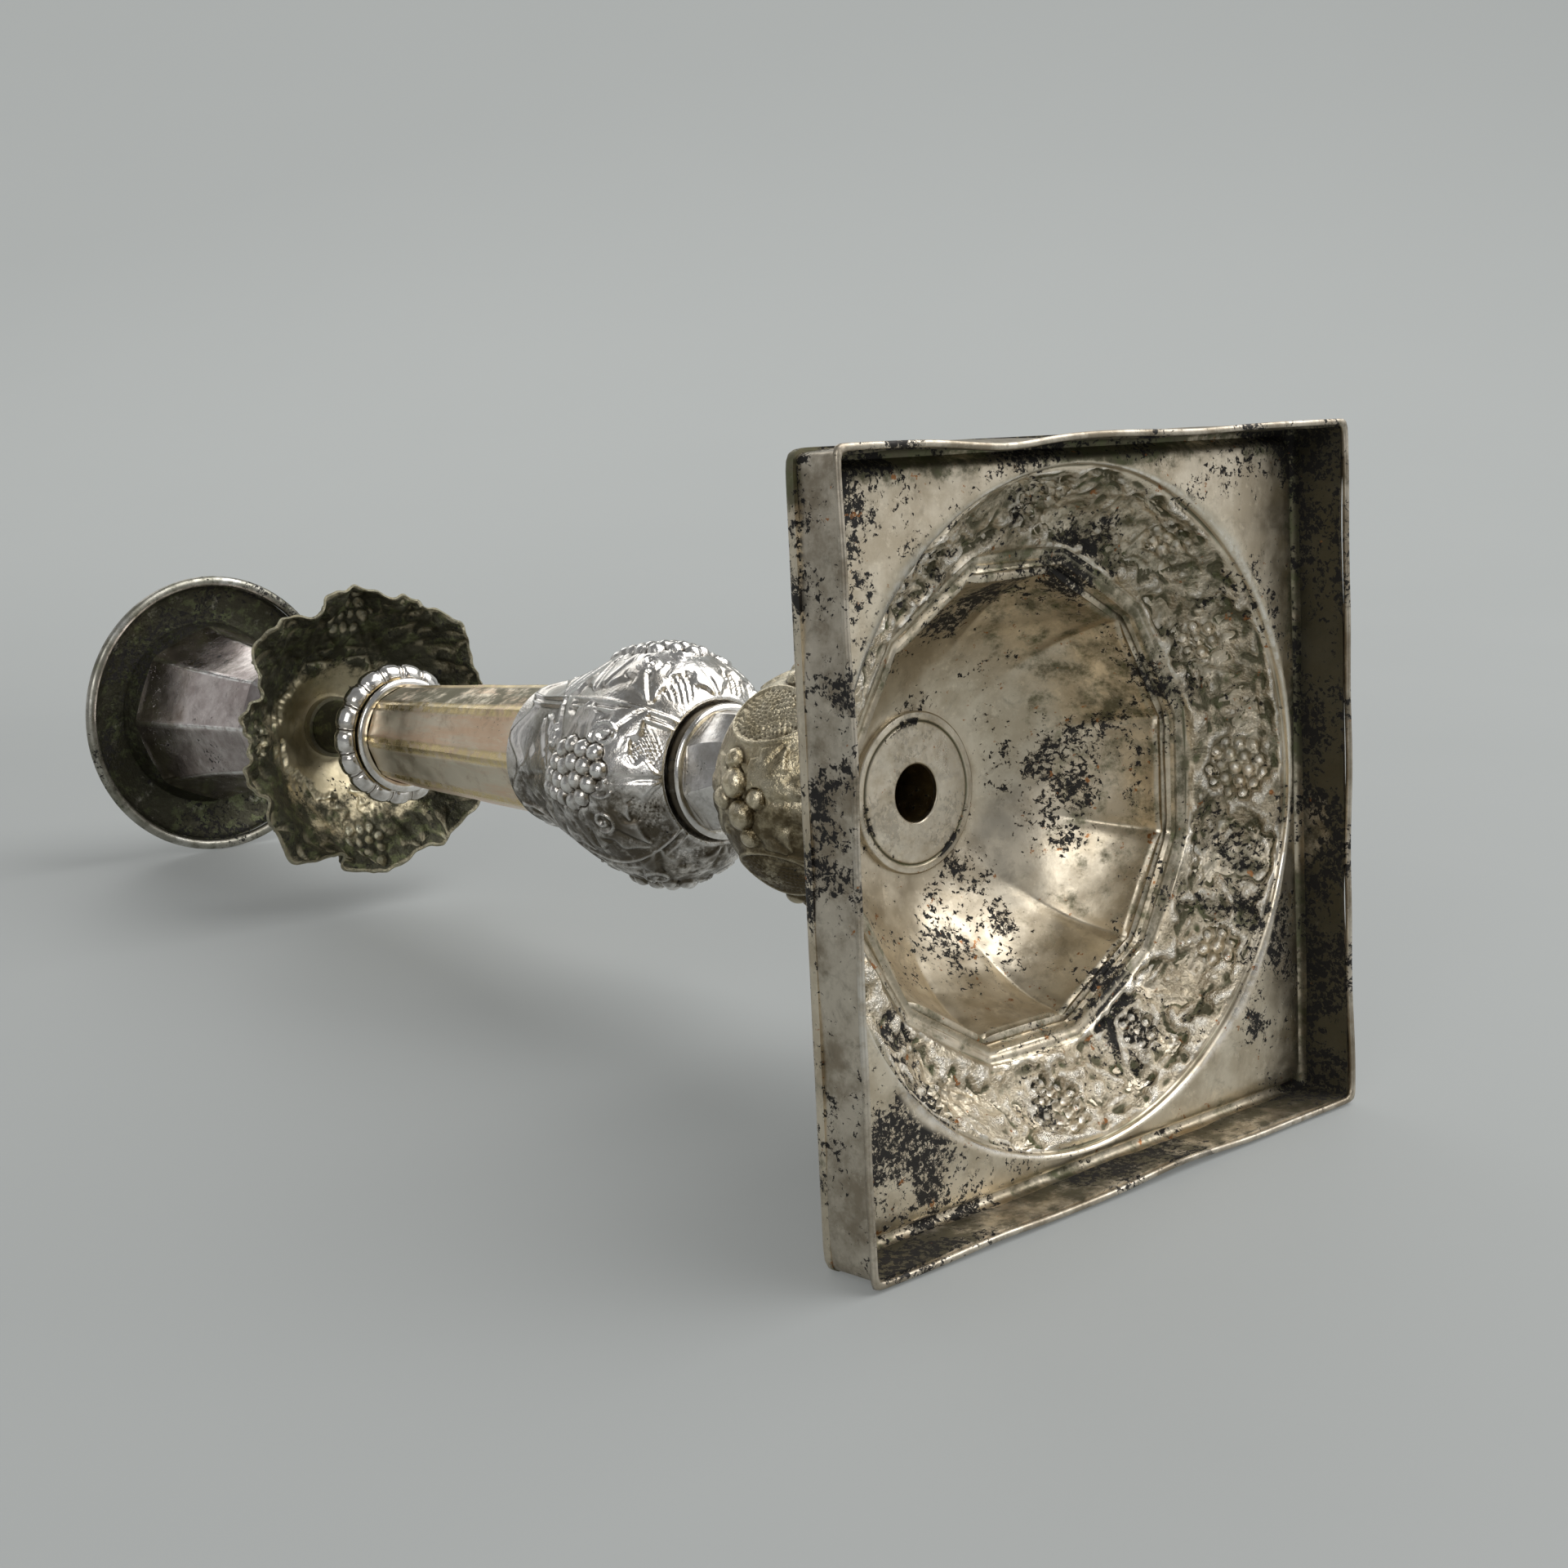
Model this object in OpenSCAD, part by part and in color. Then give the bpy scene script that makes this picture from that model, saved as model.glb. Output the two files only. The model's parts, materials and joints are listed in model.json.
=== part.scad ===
// Stamped and spun candlestick: a square footed base, a stacked hollow stem,
// a lift-off drip pan, a panelled candle cup and a loose nozzle.
// Millimetres, +Z up, origin at the middle of the base's open lower edge.

/* [Metal] */
// Thickness of the stamped sheet
sheet = 0.8; // [0.6:0.1:1]
// Radial clearance of the parts that slide together
slide_gap = 0.1; // [0.05:0.01:0.1]

/* [Base] */
// Side of the square base, over its edge strip
base_w = 140; // [140:1:150]
// Height of the tray's raised rounded edge
tray_h = 14.3; // [13.5:0.1:15]
// Rounding of the tray's raised edge
tray_edge_r = 2.4; // [2:0.1:2.4]
// Depth of the tray's flat top below its raised edge
tray_sink = 2.5; // [2:0.1:2.5]
// Height of the strip soldered along the open edge
edge_strip_h = 1.2; // [1:0.1:2]
// Radius of the ring where the vine band leaves the tray
band_r = 64.6; // [62:0.1:64.6]
// Rise of the vine band from the tray to the dome
band_rise = 15; // [12:0.5:18]
// Corner radius of the twelve-sided dome at its foot
dome_r = 45.5; // [44:0.5:46]
// Rise of the dome
dome_rise = 30.4; // [28:0.2:33]
// Number of panels round the dome
dome_panels = 12; // [8, 10, 12]
// Radius of the disc that closes the dome
disc_r = 16.5; // [16:0.1:17]
// Radius of the hole in the disc
rod_hole_r = 5.9; // [5:0.1:6.2]

/* [Stem] */
// Height of the neck ring on the dome
neck_h = 5.8; // [5:0.1:7]
// Radius of the neck ring's flared edge
neck_ring_r = 23.8; // [22:0.1:25]
// Height of the knop
knop_h = 38; // [36:1:42]
// Widest radius of the knop
knop_r = 24.5; // [23:0.1:26]
// Height of the collar under the vase
collar_h = 11.4; // [10:0.1:13]
// Outer radius of the bead at the collar's top
collar_bead_r = 15.1; // [14.8:0.1:15.4]
// Height of the vase
vase_h = 58.6; // [56:0.1:62]
// Widest radius of the vase
vase_r = 26.9; // [25:0.1:28]
// Visible length of the eight-sided shaft
shaft_h = 68.4; // [60:0.1:90]
// Corner radius of the shaft where it leaves the vase
shaft_foot_r = 16.75; // [16.5:0.05:16.8]
// Corner radius of the shaft at its top
shaft_top_r = 13.5; // [13:0.1:14]
// Radius to the middle of the gadroon ring's section
gadroon_r = 15.4; // [15.2:0.1:16]
// Height of the spool between the shaft's cap and the drip pan
spool_h = 37; // [34:0.5:40]

/* [Drip pan] */
// Mean radius of the pan's leafy edge
pan_r = 38.3; // [36:0.1:40]
// Depth from the pan's middle down to its widest edge
pan_drop = 24.5; // [18:0.5:26]

/* [Candle cup] */
// Height of the cup's foot ring
cup_foot_h = 4; // [3:0.5:5]
// Height of the sloping bottom above the foot ring
cup_bottom_h = 14; // [12:0.5:16]
// Height of the panelled wall
cup_wall_h = 46.4; // [44:0.1:50]
// Corner radius at the bottom of the panelled wall
cup_low_r = 18.2; // [17:0.1:19]
// Corner radius at the cup's mouth
cup_mouth_r = 26.1; // [25.8:0.1:27]
// Length of the spigot below the cup
spigot_h = 24; // [20:1:26]

/* [Nozzle] */
// Radius of the candle socket
socket_r = 11; // [10.5:0.1:11]
// Depth of the candle socket
socket_depth = 25; // [20:1:28]
// Outer radius of the nozzle's rim
rim_r = 40.6; // [39:0.1:42]
// Height of the socket's mouth above the cup
mouth_rise = 9.6; // [9:0.1:12]

/* [Hidden] */
$fn = 96;
curve_steps = 8;        // straight pieces in each curved stretch of an outline
shaft_sides = 8;        // panels of the shaft and of the candle cup
solder_gap = 0.05;      // between round faces of soldered parts

// Heights of the stack, from the base up
plate_z = tray_h - tray_sink;
band_top_z = plate_z + band_rise;
dome_top_z = band_top_z + dome_rise;
knop_z = dome_top_z + neck_h;
collar_z = knop_z + knop_h;
bead_z = collar_z + collar_h;
bead_h = 2;
vase_z = bead_z + bead_h;
vase_top_z = vase_z + vase_h;
shaft_tuck = 5;         // length of the shaft hidden in the vase
shaft_top_z = vase_top_z + shaft_h;
shaft_bead_h = 1.8;
cap_z = shaft_top_z + shaft_bead_h;
cap_h = 1;
spool_z = cap_z + cap_h;
spool_top_z = spool_z + spool_h;
cup_z = spool_top_z + sheet;
cup_bottom_z = cup_z + cup_foot_h;
cup_wall_z = cup_bottom_z + cup_bottom_h;
cup_mouth_z = cup_wall_z + cup_wall_h;
mouth_z = cup_mouth_z + mouth_rise;

// Base
wall_half = base_w / 2 - 0.4;       // the wall stands just inside the edge strip
edge_h = tray_edge_r + 0.9;         // the tray's edge, from the solder line with the skirt up
wall_top_z = tray_h - edge_h;
tray_slope = 2;                     // width of the slope from the raised edge to the plate
plate_half = wall_half - tray_edge_r - 0.2 - tray_slope;
slope_wall = sheet * norm([tray_sink, tray_slope]) / tray_sink;
strip_w = 1.6;
band_lip_r = dome_r - 0.3;
band_top_r = dome_r + 2.5;
band_bulge = 1.2;
dome_fullness = 1.6;                // 2 would be an ellipse, 1 a straight cone
dome_flange_r = dome_r + 3.1;
moulding_step = 0.6;
moulding_r = dome_r + 0.9;
dome_mouth_r = 14.5;
dome_shoulder_r = 17;
disc_h = 1.2;

// Stem
tube_r = 7.4;
tube_wall = 1;
neck_bore_r = 13.6;
neck_waist_r = 14.9;
knop_foot_r = 15.9;
knop_top_r = 11.5;
collar_foot_r = 11.3;
collar_top_r = 13.9;
bead_section_r = 0.95;
vase_foot_r = 14.4;
vase_belly_z = vase_z + 17.2;
vase_sleeve_h = 5;
vase_sleeve_r = shaft_foot_r + 1.05;
shaft_bead_section_r = 0.8;
shaft_bead_mid_r = shaft_top_r + 0.7;
gadroon_section_r = 3.3;
gadroon_trim = 0.2;                 // flat ground on the ring above and below
gadroon_mid_z = spool_z + gadroon_section_r - gadroon_trim;
spool_foot_r = gadroon_r - gadroon_section_r - 0.2;
spool_waist_r = 6.6;
spool_top_r = 7.2;
spool_shoulder_h = 7.8;

// Loose parts
spigot_r = 4.6;
spigot_hole_r = spigot_r + slide_gap;
pan_hole_r = 5.1;
pan_flat_r = 9;
pan_reach_r = 41;                   // radius that pan_drop is measured at
pan_curve = 1.32;
pan_lobe = 1.2;
pan_corner = 0.6;
pan_outline_steps = 96;
pan_collar_wall = 1;
pan_collar_h = 2.8;
foot_ring_r = 8.4;
cup_floor_r = 8.6;
cup_floor_hole_r = 5.2;
cup_flare = 1.5;
spigot_head_r = 6.8;
socket_wall = 1;
liner_r = socket_r + socket_wall + slide_gap;
liner_wall = 0.8;
liner_h = 30;
liner_flange_r = 22.9;
rim_section_r = 1.5;
rim_mid_z = cup_mouth_z + 0.6;
seat_r = 23.6;
brim_inner_r = 26.4;
brim_outer_r = rim_r - 2 * rim_section_r - sheet - 0.1;
brim_low_z = rim_mid_z + 1.2;
brim_crown_h = 5.6;                 // underside of the brim's crown above the cup's mouth

// Radius of an elliptic swelling: u is 0 at its middle and 1 at its end
function swell(mid_r, end_r, u) = sqrt(mid_r * mid_r - (mid_r * mid_r - end_r * end_r) * u * u);

// Radius along an S-curve from r_a at s = 0 to r_b at s = 1
function ease(r_a, r_b, s) = r_b + (r_a - r_b) * (1 + cos(180 * s)) / 2;

// The evenly spaced shares of a curved stretch, from 0 to 1
function shares(steps = curve_steps) = [for (i = [0:steps]) i / steps];

// An outline moved inwards by the sheet's thickness; its two ends are cut level
function inset(outline, t) = [
    for (i = [0:len(outline) - 1])
        let (last = len(outline) - 1)
        let (d = outline[min(i + 1, last)] - outline[max(i - 1, 0)])
        let (n = [d[1], -d[0]] / norm(d))
        i == 0 || i == last ? outline[i] - [t / max(n[0], 0.5), 0] : outline[i] - t * n
];

// An outline moved by the sheet's thickness to its left-hand side, ends included
function raised(outline, t) = [
    for (i = [0:len(outline) - 1])
        let (d = outline[min(i + 1, len(outline) - 1)] - outline[max(i - 1, 0)])
        outline[i] + t * [-d[1], d[0]] / norm(d)
];

function reversed(list) = [for (i = [len(list) - 1:-1:0]) list[i]];

// A hollow of revolution with the given outer outline; sides makes it panelled
module shell(outline, t = sheet, sides = $fn) {
    rotate_extrude($fn = sides)
        polygon(concat(outline, reversed(inset(outline, t))));
}

// A round-section ring
module round_ring(mid_r, section_r, z) {
    translate([0, 0, z])
        rotate_extrude()
            translate([mid_r, 0])
                circle(r = section_r, $fn = 32);
}

// A flat ring
module flat_ring(outer_r, inner_r, z, h) {
    translate([0, 0, z])
        difference() {
            cylinder(r = outer_r, h = h);
            translate([0, 0, -1])
                cylinder(r = inner_r, h = h + 2);
        }
}

// A square frame lying flat
module square_frame(half, width, z, h) {
    translate([0, 0, z])
        linear_extrude(height = h)
            difference() {
                square(2 * half, center = true);
                square(2 * (half - width), center = true);
            }
}

// The solid that has the same cross-section along X and along Y, with mitred corners
module crossed(length) {
    for_x = [90, 0, 0];
    for_y = [90, 0, 90];
    intersection() {
        rotate(for_x)
            linear_extrude(height = length, center = true)
                children();
        rotate(for_y)
            linear_extrude(height = length, center = true)
                children();
    }
}

// Cross-section of a low block with rounded upper edges
module block_section(half, r, h) {
    intersection() {
        union() {
            translate([-half, 0])
                square([2 * half, h - r]);
            translate([-(half - r), 0])
                square([2 * (half - r), h]);
            for (side = [-1, 1])
                translate([side * (half - r), h - r])
                    circle(r = r);
        }
        translate([-half, 0])
            square([2 * half, h]);
    }
}

// Cross-section of the dish inside the tray's raised edge, from its floor up
module dish_section(half, h) {
    top_half = half + tray_slope * h / tray_sink;
    polygon([[-half, 0], [half, 0], [top_half, h], [-top_half, h]]);
}

// Upper outline of the vine band, from the tray in to the dome's seat
band_outline = concat(
    [[band_r + 0.2, plate_z]],
    [for (t = shares())
        [band_r + (band_top_r - band_r) * t, plate_z + band_rise * t + band_bulge * sin(180 * t)]]
);

module base_plate() {
    floor_half = plate_half + slope_wall - tray_slope * sheet / tray_sink;
    color([0.66, 0.63, 0.57])
        union() {
            difference() {
                translate([0, 0, wall_top_z])
                    crossed(2 * wall_half)
                        block_section(wall_half, tray_edge_r, edge_h);
                difference() {
                    translate([0, 0, wall_top_z - sheet])
                        crossed(2 * wall_half)
                            block_section(wall_half - sheet, tray_edge_r - sheet, edge_h);
                    translate([0, 0, plate_z - sheet])
                        crossed(2 * base_w)
                            dish_section(floor_half, tray_sink + sheet);
                }
                translate([0, 0, plate_z])
                    crossed(2 * base_w)
                        dish_section(plate_half, tray_sink + 1);
                cylinder(r = band_r, h = 2 * tray_h);
            }
            rotate_extrude()
                polygon(concat(
                    band_outline,
                    [[band_lip_r, band_top_z], [band_lip_r, band_top_z - sheet]],
                    [for (p = reversed(band_outline)) p - [0, sheet]]
                ));
        }
}

module base_skirt() {
    color([0.42, 0.38, 0.32])
        square_frame(wall_half, sheet, edge_strip_h, wall_top_z - edge_strip_h);
}

module base_edge_strip() {
    color([0.60, 0.52, 0.42])
        square_frame(base_w / 2, strip_w, 0, edge_strip_h);
}

// Outline of the dome above its stepped moulding, drawn in by a depth
dome_foot_z = band_top_z + sheet + moulding_step;
function dome_outline(depth) = [
    for (t = shares())
        [dome_shoulder_r + (dome_r - depth - dome_shoulder_r) * pow(cos(90 * t), 2 / dome_fullness),
         dome_foot_z + (dome_top_z - depth - dome_foot_z) * pow(sin(90 * t), 2 / dome_fullness)]
];

module base_dome() {
    color([0.70, 0.67, 0.61])
        rotate([0, 0, 180 / dome_panels])
            rotate_extrude($fn = dome_panels)
                polygon(concat(
                    [[dome_flange_r, band_top_z], [dome_flange_r, band_top_z + sheet],
                     [moulding_r, band_top_z + sheet], [moulding_r, dome_foot_z]],
                    dome_outline(0),
                    [[dome_mouth_r, dome_top_z], [dome_mouth_r, dome_top_z - sheet]],
                    reversed(dome_outline(sheet)),
                    [[dome_r - sheet, band_top_z]]
                ));
}

module dome_disc() {
    color([0.62, 0.59, 0.52])
        flat_ring(disc_r, rod_hole_r, dome_top_z - sheet - disc_h, disc_h);
}

module stem_tube() {
    tube_z = dome_top_z - sheet;
    color([0.55, 0.47, 0.30])
        flat_ring(tube_r, tube_r - tube_wall, tube_z, spool_z + spool_shoulder_h - tube_z);
}

module neck_ring() {
    color([0.58, 0.54, 0.45])
        translate([0, 0, dome_top_z])
            rotate_extrude()
                polygon([
                    [neck_bore_r, 0], [neck_waist_r + 1.9, 0], [neck_waist_r + 1.9, sheet],
                    [neck_waist_r, 0.4 * neck_h], [neck_waist_r + 0.5, 0.6 * neck_h],
                    [neck_waist_r + 3.6, 0.76 * neck_h], [neck_ring_r, 0.86 * neck_h],
                    [neck_ring_r, neck_h], [neck_bore_r, neck_h]
                ]);
}

module knop() {
    middle_z = knop_z + knop_h / 2;
    outline = [
        for (t = shares(2 * curve_steps))
            let (u = 2 * t - 1)
            [swell(knop_r, u < 0 ? knop_foot_r : knop_top_r, u), middle_z + u * knop_h / 2]
    ];
    color([0.63, 0.56, 0.38])
        shell(outline);
}

module collar() {
    outline = [
        for (t = shares())
            [collar_foot_r + (collar_top_r - collar_foot_r) * sin(90 * t), collar_z + collar_h * t]
    ];
    color([0.72, 0.71, 0.70])
        shell(outline);
}

module collar_bead() {
    bead_mid_r = collar_bead_r - bead_section_r;
    color([0.74, 0.72, 0.68])
        union() {
            round_ring(bead_mid_r, bead_section_r, bead_z + bead_h / 2);
            flat_ring(bead_mid_r, collar_top_r - 2 * sheet, bead_z, bead_h);
        }
}

module vase() {
    shoulder_z = vase_top_z - vase_sleeve_h;
    outline = concat(
        [for (t = shares())
            [swell(vase_r, vase_foot_r, 1 - t), vase_z + (vase_belly_z - vase_z) * t]],
        [for (i = [1:curve_steps])
            let (s = i / curve_steps)
            [ease(vase_r, vase_sleeve_r, s), vase_belly_z + (shoulder_z - vase_belly_z) * s]],
        [[vase_sleeve_r, vase_top_z]]
    );
    color([0.75, 0.73, 0.69])
        shell(outline);
}

module shaft() {
    taper = (shaft_foot_r - shaft_top_r) / shaft_h;
    hidden_r = shaft_foot_r + taper * shaft_tuck;
    height = shaft_h + shaft_tuck;
    corner_wall = sheet / cos(180 / shaft_sides);
    color([0.70, 0.66, 0.60])
        translate([0, 0, vase_top_z - shaft_tuck])
            difference() {
                cylinder(r1 = hidden_r, r2 = shaft_top_r, h = height, $fn = shaft_sides);
                translate([0, 0, -taper])
                    cylinder(r1 = hidden_r - corner_wall, r2 = shaft_top_r - corner_wall,
                             h = height + 2 * taper, $fn = shaft_sides);
            }
}

module shaft_bead() {
    color([0.78, 0.76, 0.72])
        union() {
            round_ring(shaft_bead_mid_r, shaft_bead_section_r, shaft_top_z + shaft_bead_h / 2);
            flat_ring(shaft_bead_mid_r, shaft_top_r - 2.5, shaft_top_z, shaft_bead_h);
        }
}

module shaft_cap() {
    color([0.60, 0.57, 0.50])
        flat_ring(shaft_bead_mid_r, tube_r + solder_gap, cap_z, cap_h);
}

module gadroon_ring() {
    clipped_h = 2 * (gadroon_section_r - gadroon_trim);
    color([0.80, 0.79, 0.77])
        intersection() {
            round_ring(gadroon_r, gadroon_section_r, gadroon_mid_z);
            translate([0, 0, spool_z])
                cylinder(r = gadroon_r + 2 * gadroon_section_r, h = clipped_h);
        }
}

module neck_spool() {
    neck_z = spool_z + spool_shoulder_h;
    neck_h = spool_top_z - neck_z;
    outline = concat(
        [[0, spool_z], [spool_foot_r, spool_z], [spool_foot_r, neck_z - 1.4]],
        [for (t = shares())
            [ease(t < 0.5 ? spool_foot_r - 2 : spool_top_r, spool_waist_r, 1 - abs(2 * t - 1)),
             neck_z + neck_h * t]],
        [[0, spool_top_z]]
    );
    color([0.30, 0.26, 0.20])
        difference() {
            rotate_extrude()
                polygon(outline);
            translate([0, 0, spool_z - 1])
                cylinder(r = tube_r + solder_gap, h = spool_shoulder_h + 1);
            translate([0, 0, spool_z])
                cylinder(r = spigot_hole_r, h = spool_h + 1);
        }
}

// Radius of the pan's leafy edge at an angle: eight lobes, four of them longer
function pan_edge(a) = pan_r + pan_lobe * cos(8 * a) - pan_corner * cos(4 * a);

// Height of the pan's upper face at a radius
function pan_z(r) = cup_z - pan_drop * pow(max(r - pan_flat_r, 0) / (pan_reach_r - pan_flat_r), pan_curve);

module drip_pan() {
    reach = pan_r + 2 * pan_lobe;
    upper = concat(
        [[pan_hole_r, cup_z]],
        [for (t = shares()) let (r = pan_flat_r + (reach - pan_flat_r) * t) [r, pan_z(r)]]
    );
    color([0.22, 0.22, 0.17])
        intersection() {
            rotate_extrude()
                polygon(concat(upper, [for (p = reversed(upper)) p - [0, sheet]]));
            translate([0, 0, cup_z - 2 * pan_drop])
                linear_extrude(height = 3 * pan_drop)
                    polygon([
                        for (i = [0:pan_outline_steps - 1])
                            let (a = 360 * i / pan_outline_steps)
                            pan_edge(a) * [cos(a), sin(a)]
                    ]);
        }
}

module pan_collar() {
    inner_r = spool_top_r + slide_gap;
    color([0.45, 0.40, 0.30])
        flat_ring(inner_r + pan_collar_wall, inner_r, spool_top_z - pan_collar_h, pan_collar_h);
}

module cup_foot() {
    middle_z = cup_z + cup_foot_h / 2;
    outline = [
        for (t = shares())
            let (u = 2 * t - 1)
            [swell(foot_ring_r, foot_ring_r - 1.2, u), middle_z + u * cup_foot_h / 2]
    ];
    color([0.50, 0.47, 0.42])
        difference() {
            rotate_extrude()
                polygon(concat([[0, cup_z]], outline, [[0, cup_bottom_z]]));
            translate([0, 0, cup_z - 1])
                cylinder(r = spigot_r + solder_gap, h = cup_foot_h + 2);
        }
}

module cup_spigot() {
    head_z = cup_bottom_z + sheet;
    color([0.55, 0.47, 0.30])
        union() {
            translate([0, 0, cup_z - spigot_h])
                cylinder(r = spigot_r, h = head_z - cup_z + spigot_h);
            translate([0, 0, head_z])
                cylinder(r = spigot_head_r, h = 1.2);
        }
}

module cup_bottom() {
    color([0.52, 0.50, 0.50])
        rotate_extrude($fn = shaft_sides)
            polygon([
                [cup_floor_hole_r, cup_bottom_z], [cup_floor_r, cup_bottom_z],
                [cup_low_r, cup_wall_z], [cup_low_r - sheet, cup_wall_z],
                [cup_floor_r - 0.2, cup_bottom_z + sheet], [cup_floor_hole_r, cup_bottom_z + sheet]
            ]);
}

module cup_body() {
    outline = [
        for (t = shares())
            [cup_low_r + (cup_mouth_r - cup_low_r) * pow(t, cup_flare), cup_wall_z + cup_wall_h * t]
    ];
    color([0.56, 0.53, 0.54])
        shell(outline, sides = shaft_sides);
}

module cup_liner() {
    color([0.50, 0.46, 0.38])
        union() {
            flat_ring(liner_r + liner_wall, liner_r, cup_mouth_z - liner_h, liner_h);
            flat_ring(liner_flange_r, liner_r, cup_mouth_z - sheet, sheet);
        }
}

module socket_tube() {
    floor_z = mouth_z - socket_depth - socket_wall;
    color([0.50, 0.47, 0.42])
        difference() {
            translate([0, 0, floor_z])
                cylinder(r = socket_r + socket_wall, h = socket_depth + socket_wall);
            translate([0, 0, floor_z + socket_wall])
                cylinder(r = socket_r, h = socket_depth + 1);
        }
}

// A flat seat, a steep step and a crown that falls to the rim
module nozzle_brim() {
    crown_z = cup_mouth_z + brim_crown_h;
    underside = concat(
        [[socket_r + socket_wall + solder_gap, cup_mouth_z], [seat_r, cup_mouth_z],
         [brim_inner_r - 0.6, crown_z - 1.2]],
        [for (t = shares())
            [brim_inner_r + (brim_outer_r - brim_inner_r) * sin(90 * t),
             brim_low_z + (crown_z - brim_low_z) * cos(90 * t)]]
    );
    color([0.45, 0.44, 0.40])
        rotate_extrude()
            polygon(concat(underside, reversed(raised(underside, sheet))));
}

module brim_rim() {
    color([0.72, 0.71, 0.68])
        round_ring(rim_r - rim_section_r, rim_section_r, rim_mid_z);
}

base_plate();
base_skirt();
base_edge_strip();
base_dome();
dome_disc();
stem_tube();
neck_ring();
knop();
collar();
collar_bead();
vase();
shaft();
shaft_bead();
shaft_cap();
gadroon_ring();
neck_spool();
drip_pan();
pan_collar();
cup_foot();
cup_spigot();
cup_bottom();
cup_body();
cup_liner();
socket_tube();
nozzle_brim();
brim_rim();
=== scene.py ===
"""A silver-plated candlestick with vine ornament, lying on its side on a pale seamless sheet.

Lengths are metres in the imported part's frame: +Z runs up the stem from the base's open edge.
It lies with its -Y side up, so the floor is a plane that touches the base and the rim near +Y.
Ornament is worked out in millimetres: x runs round the stem and y along the sheet's outline.
"""
import json
import math

import bpy
import numpy as np
from mathutils import Matrix, Vector


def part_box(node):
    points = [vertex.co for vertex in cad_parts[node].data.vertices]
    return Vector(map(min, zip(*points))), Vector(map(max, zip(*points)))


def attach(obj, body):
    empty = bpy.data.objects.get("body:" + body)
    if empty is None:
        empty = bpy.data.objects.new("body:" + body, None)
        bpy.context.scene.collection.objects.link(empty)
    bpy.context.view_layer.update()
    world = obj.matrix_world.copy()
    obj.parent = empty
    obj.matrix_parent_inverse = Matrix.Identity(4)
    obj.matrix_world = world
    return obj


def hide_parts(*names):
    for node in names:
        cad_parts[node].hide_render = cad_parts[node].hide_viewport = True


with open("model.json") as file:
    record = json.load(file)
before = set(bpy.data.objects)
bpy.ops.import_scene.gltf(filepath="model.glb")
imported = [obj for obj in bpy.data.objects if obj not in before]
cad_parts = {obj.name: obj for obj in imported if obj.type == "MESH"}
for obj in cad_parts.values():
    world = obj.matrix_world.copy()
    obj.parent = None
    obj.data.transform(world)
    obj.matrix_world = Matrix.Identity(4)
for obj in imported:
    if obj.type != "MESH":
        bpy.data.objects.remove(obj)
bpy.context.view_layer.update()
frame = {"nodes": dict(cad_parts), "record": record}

MM = 0.001
TURN = 2 * math.pi
SHEET = 0.8 * MM

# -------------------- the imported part's places


def reach(node):
    """Outer radius, or half the width, of a CAD node."""
    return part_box(node)[1].x


def low(node):
    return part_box(node)[0].z


def high(node):
    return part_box(node)[1].z


def middle(node):
    return (low(node) + high(node)) / 2


def half_height(node):
    return (high(node) - low(node)) / 2


# -------------------- grids and meshes


def even(outline, rows):
    """An outline's points spread evenly along its length, as an array of (radius, height)."""
    points = np.array(outline, float)
    steps = np.hypot(*np.diff(points, axis=0).T)
    length = np.concatenate([[0], np.cumsum(steps)])
    at = np.linspace(0, length[-1], rows)
    return np.stack([np.interp(at, length, points[:, k]) for k in (0, 1)], axis=1)


def arc_length(outline):
    """Millimetres along the outline from its start, one value per row."""
    steps = np.hypot(*np.diff(outline, axis=0).T)
    return np.concatenate([[0], np.cumsum(steps)]) / MM


def turns(columns):
    return np.linspace(0, TURN, columns, endpoint=False)


def polygon(turn, sides, corner=0.0):
    """Radius of a regular polygon at an angle; 1 at its corners, the first of them at corner."""
    half = math.pi / sides
    return math.cos(half) / np.cos((turn - corner) % (2 * half) - half)


def revolve(outline, columns, shape=1.0):
    """The outline turned round the stem; shape scales the radius, by column or by point."""
    radius, height = outline.T
    turn = turns(columns)
    r = radius[:, None] * shape * np.ones(columns)
    z = height[:, None] * np.ones(columns)
    return np.stack([r * np.cos(turn), r * np.sin(turn), z], axis=2)


def square_rings(half_and_height, columns, corner=200):
    """Square rings, one for each (half width, height); a smaller corner rounds them more."""
    turn = turns(columns)
    square = (abs(np.cos(turn)) ** corner + abs(np.sin(turn)) ** corner) ** (-1 / corner)
    return revolve(np.array(half_and_height, float), columns, square)


def normals(points):
    """Outward unit normals of a grid whose rows run up or in."""
    around = np.roll(points, -1, 1) - np.roll(points, 1, 1)
    along = np.gradient(points, axis=0)
    normal = np.cross(around, along)
    return normal / np.maximum(np.linalg.norm(normal, axis=2, keepdims=True), 1e-12)


def embossed(points, relief, thickness=SHEET, back=None):
    """Sheet metal pressed to a relief given in millimetres: its outer rings, then its inner ones.
    back is the relief of its inner face, where that differs."""
    normal = normals(points)
    outer = points + normal * (relief * MM)[..., None]
    inner = points + normal * ((relief if back is None else back) * MM - thickness)[..., None]
    return faces(outer, inner)


def soften(height, times):
    """A relief blurred a little, as it shows on the back of the sheet."""
    for _ in range(times):
        height = (np.roll(height, 1, 1) + 2 * height + np.roll(height, -1, 1)) / 4
        padded = np.concatenate([height[:1], height, height[-1:]])
        height = (padded[:-2] + 2 * height + padded[2:]) / 4
    return height


def solid(points, relief, bore):
    """A relief on the outside of a ring whose bore is a plain cylinder."""
    outer = points + normals(points) * (relief * MM)[..., None]
    ends = np.array([[bore, points[-1, :, 2].mean()], [bore, points[0, :, 2].mean()]])
    return np.concatenate([outer, revolve(ends, points.shape[1])])


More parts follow.
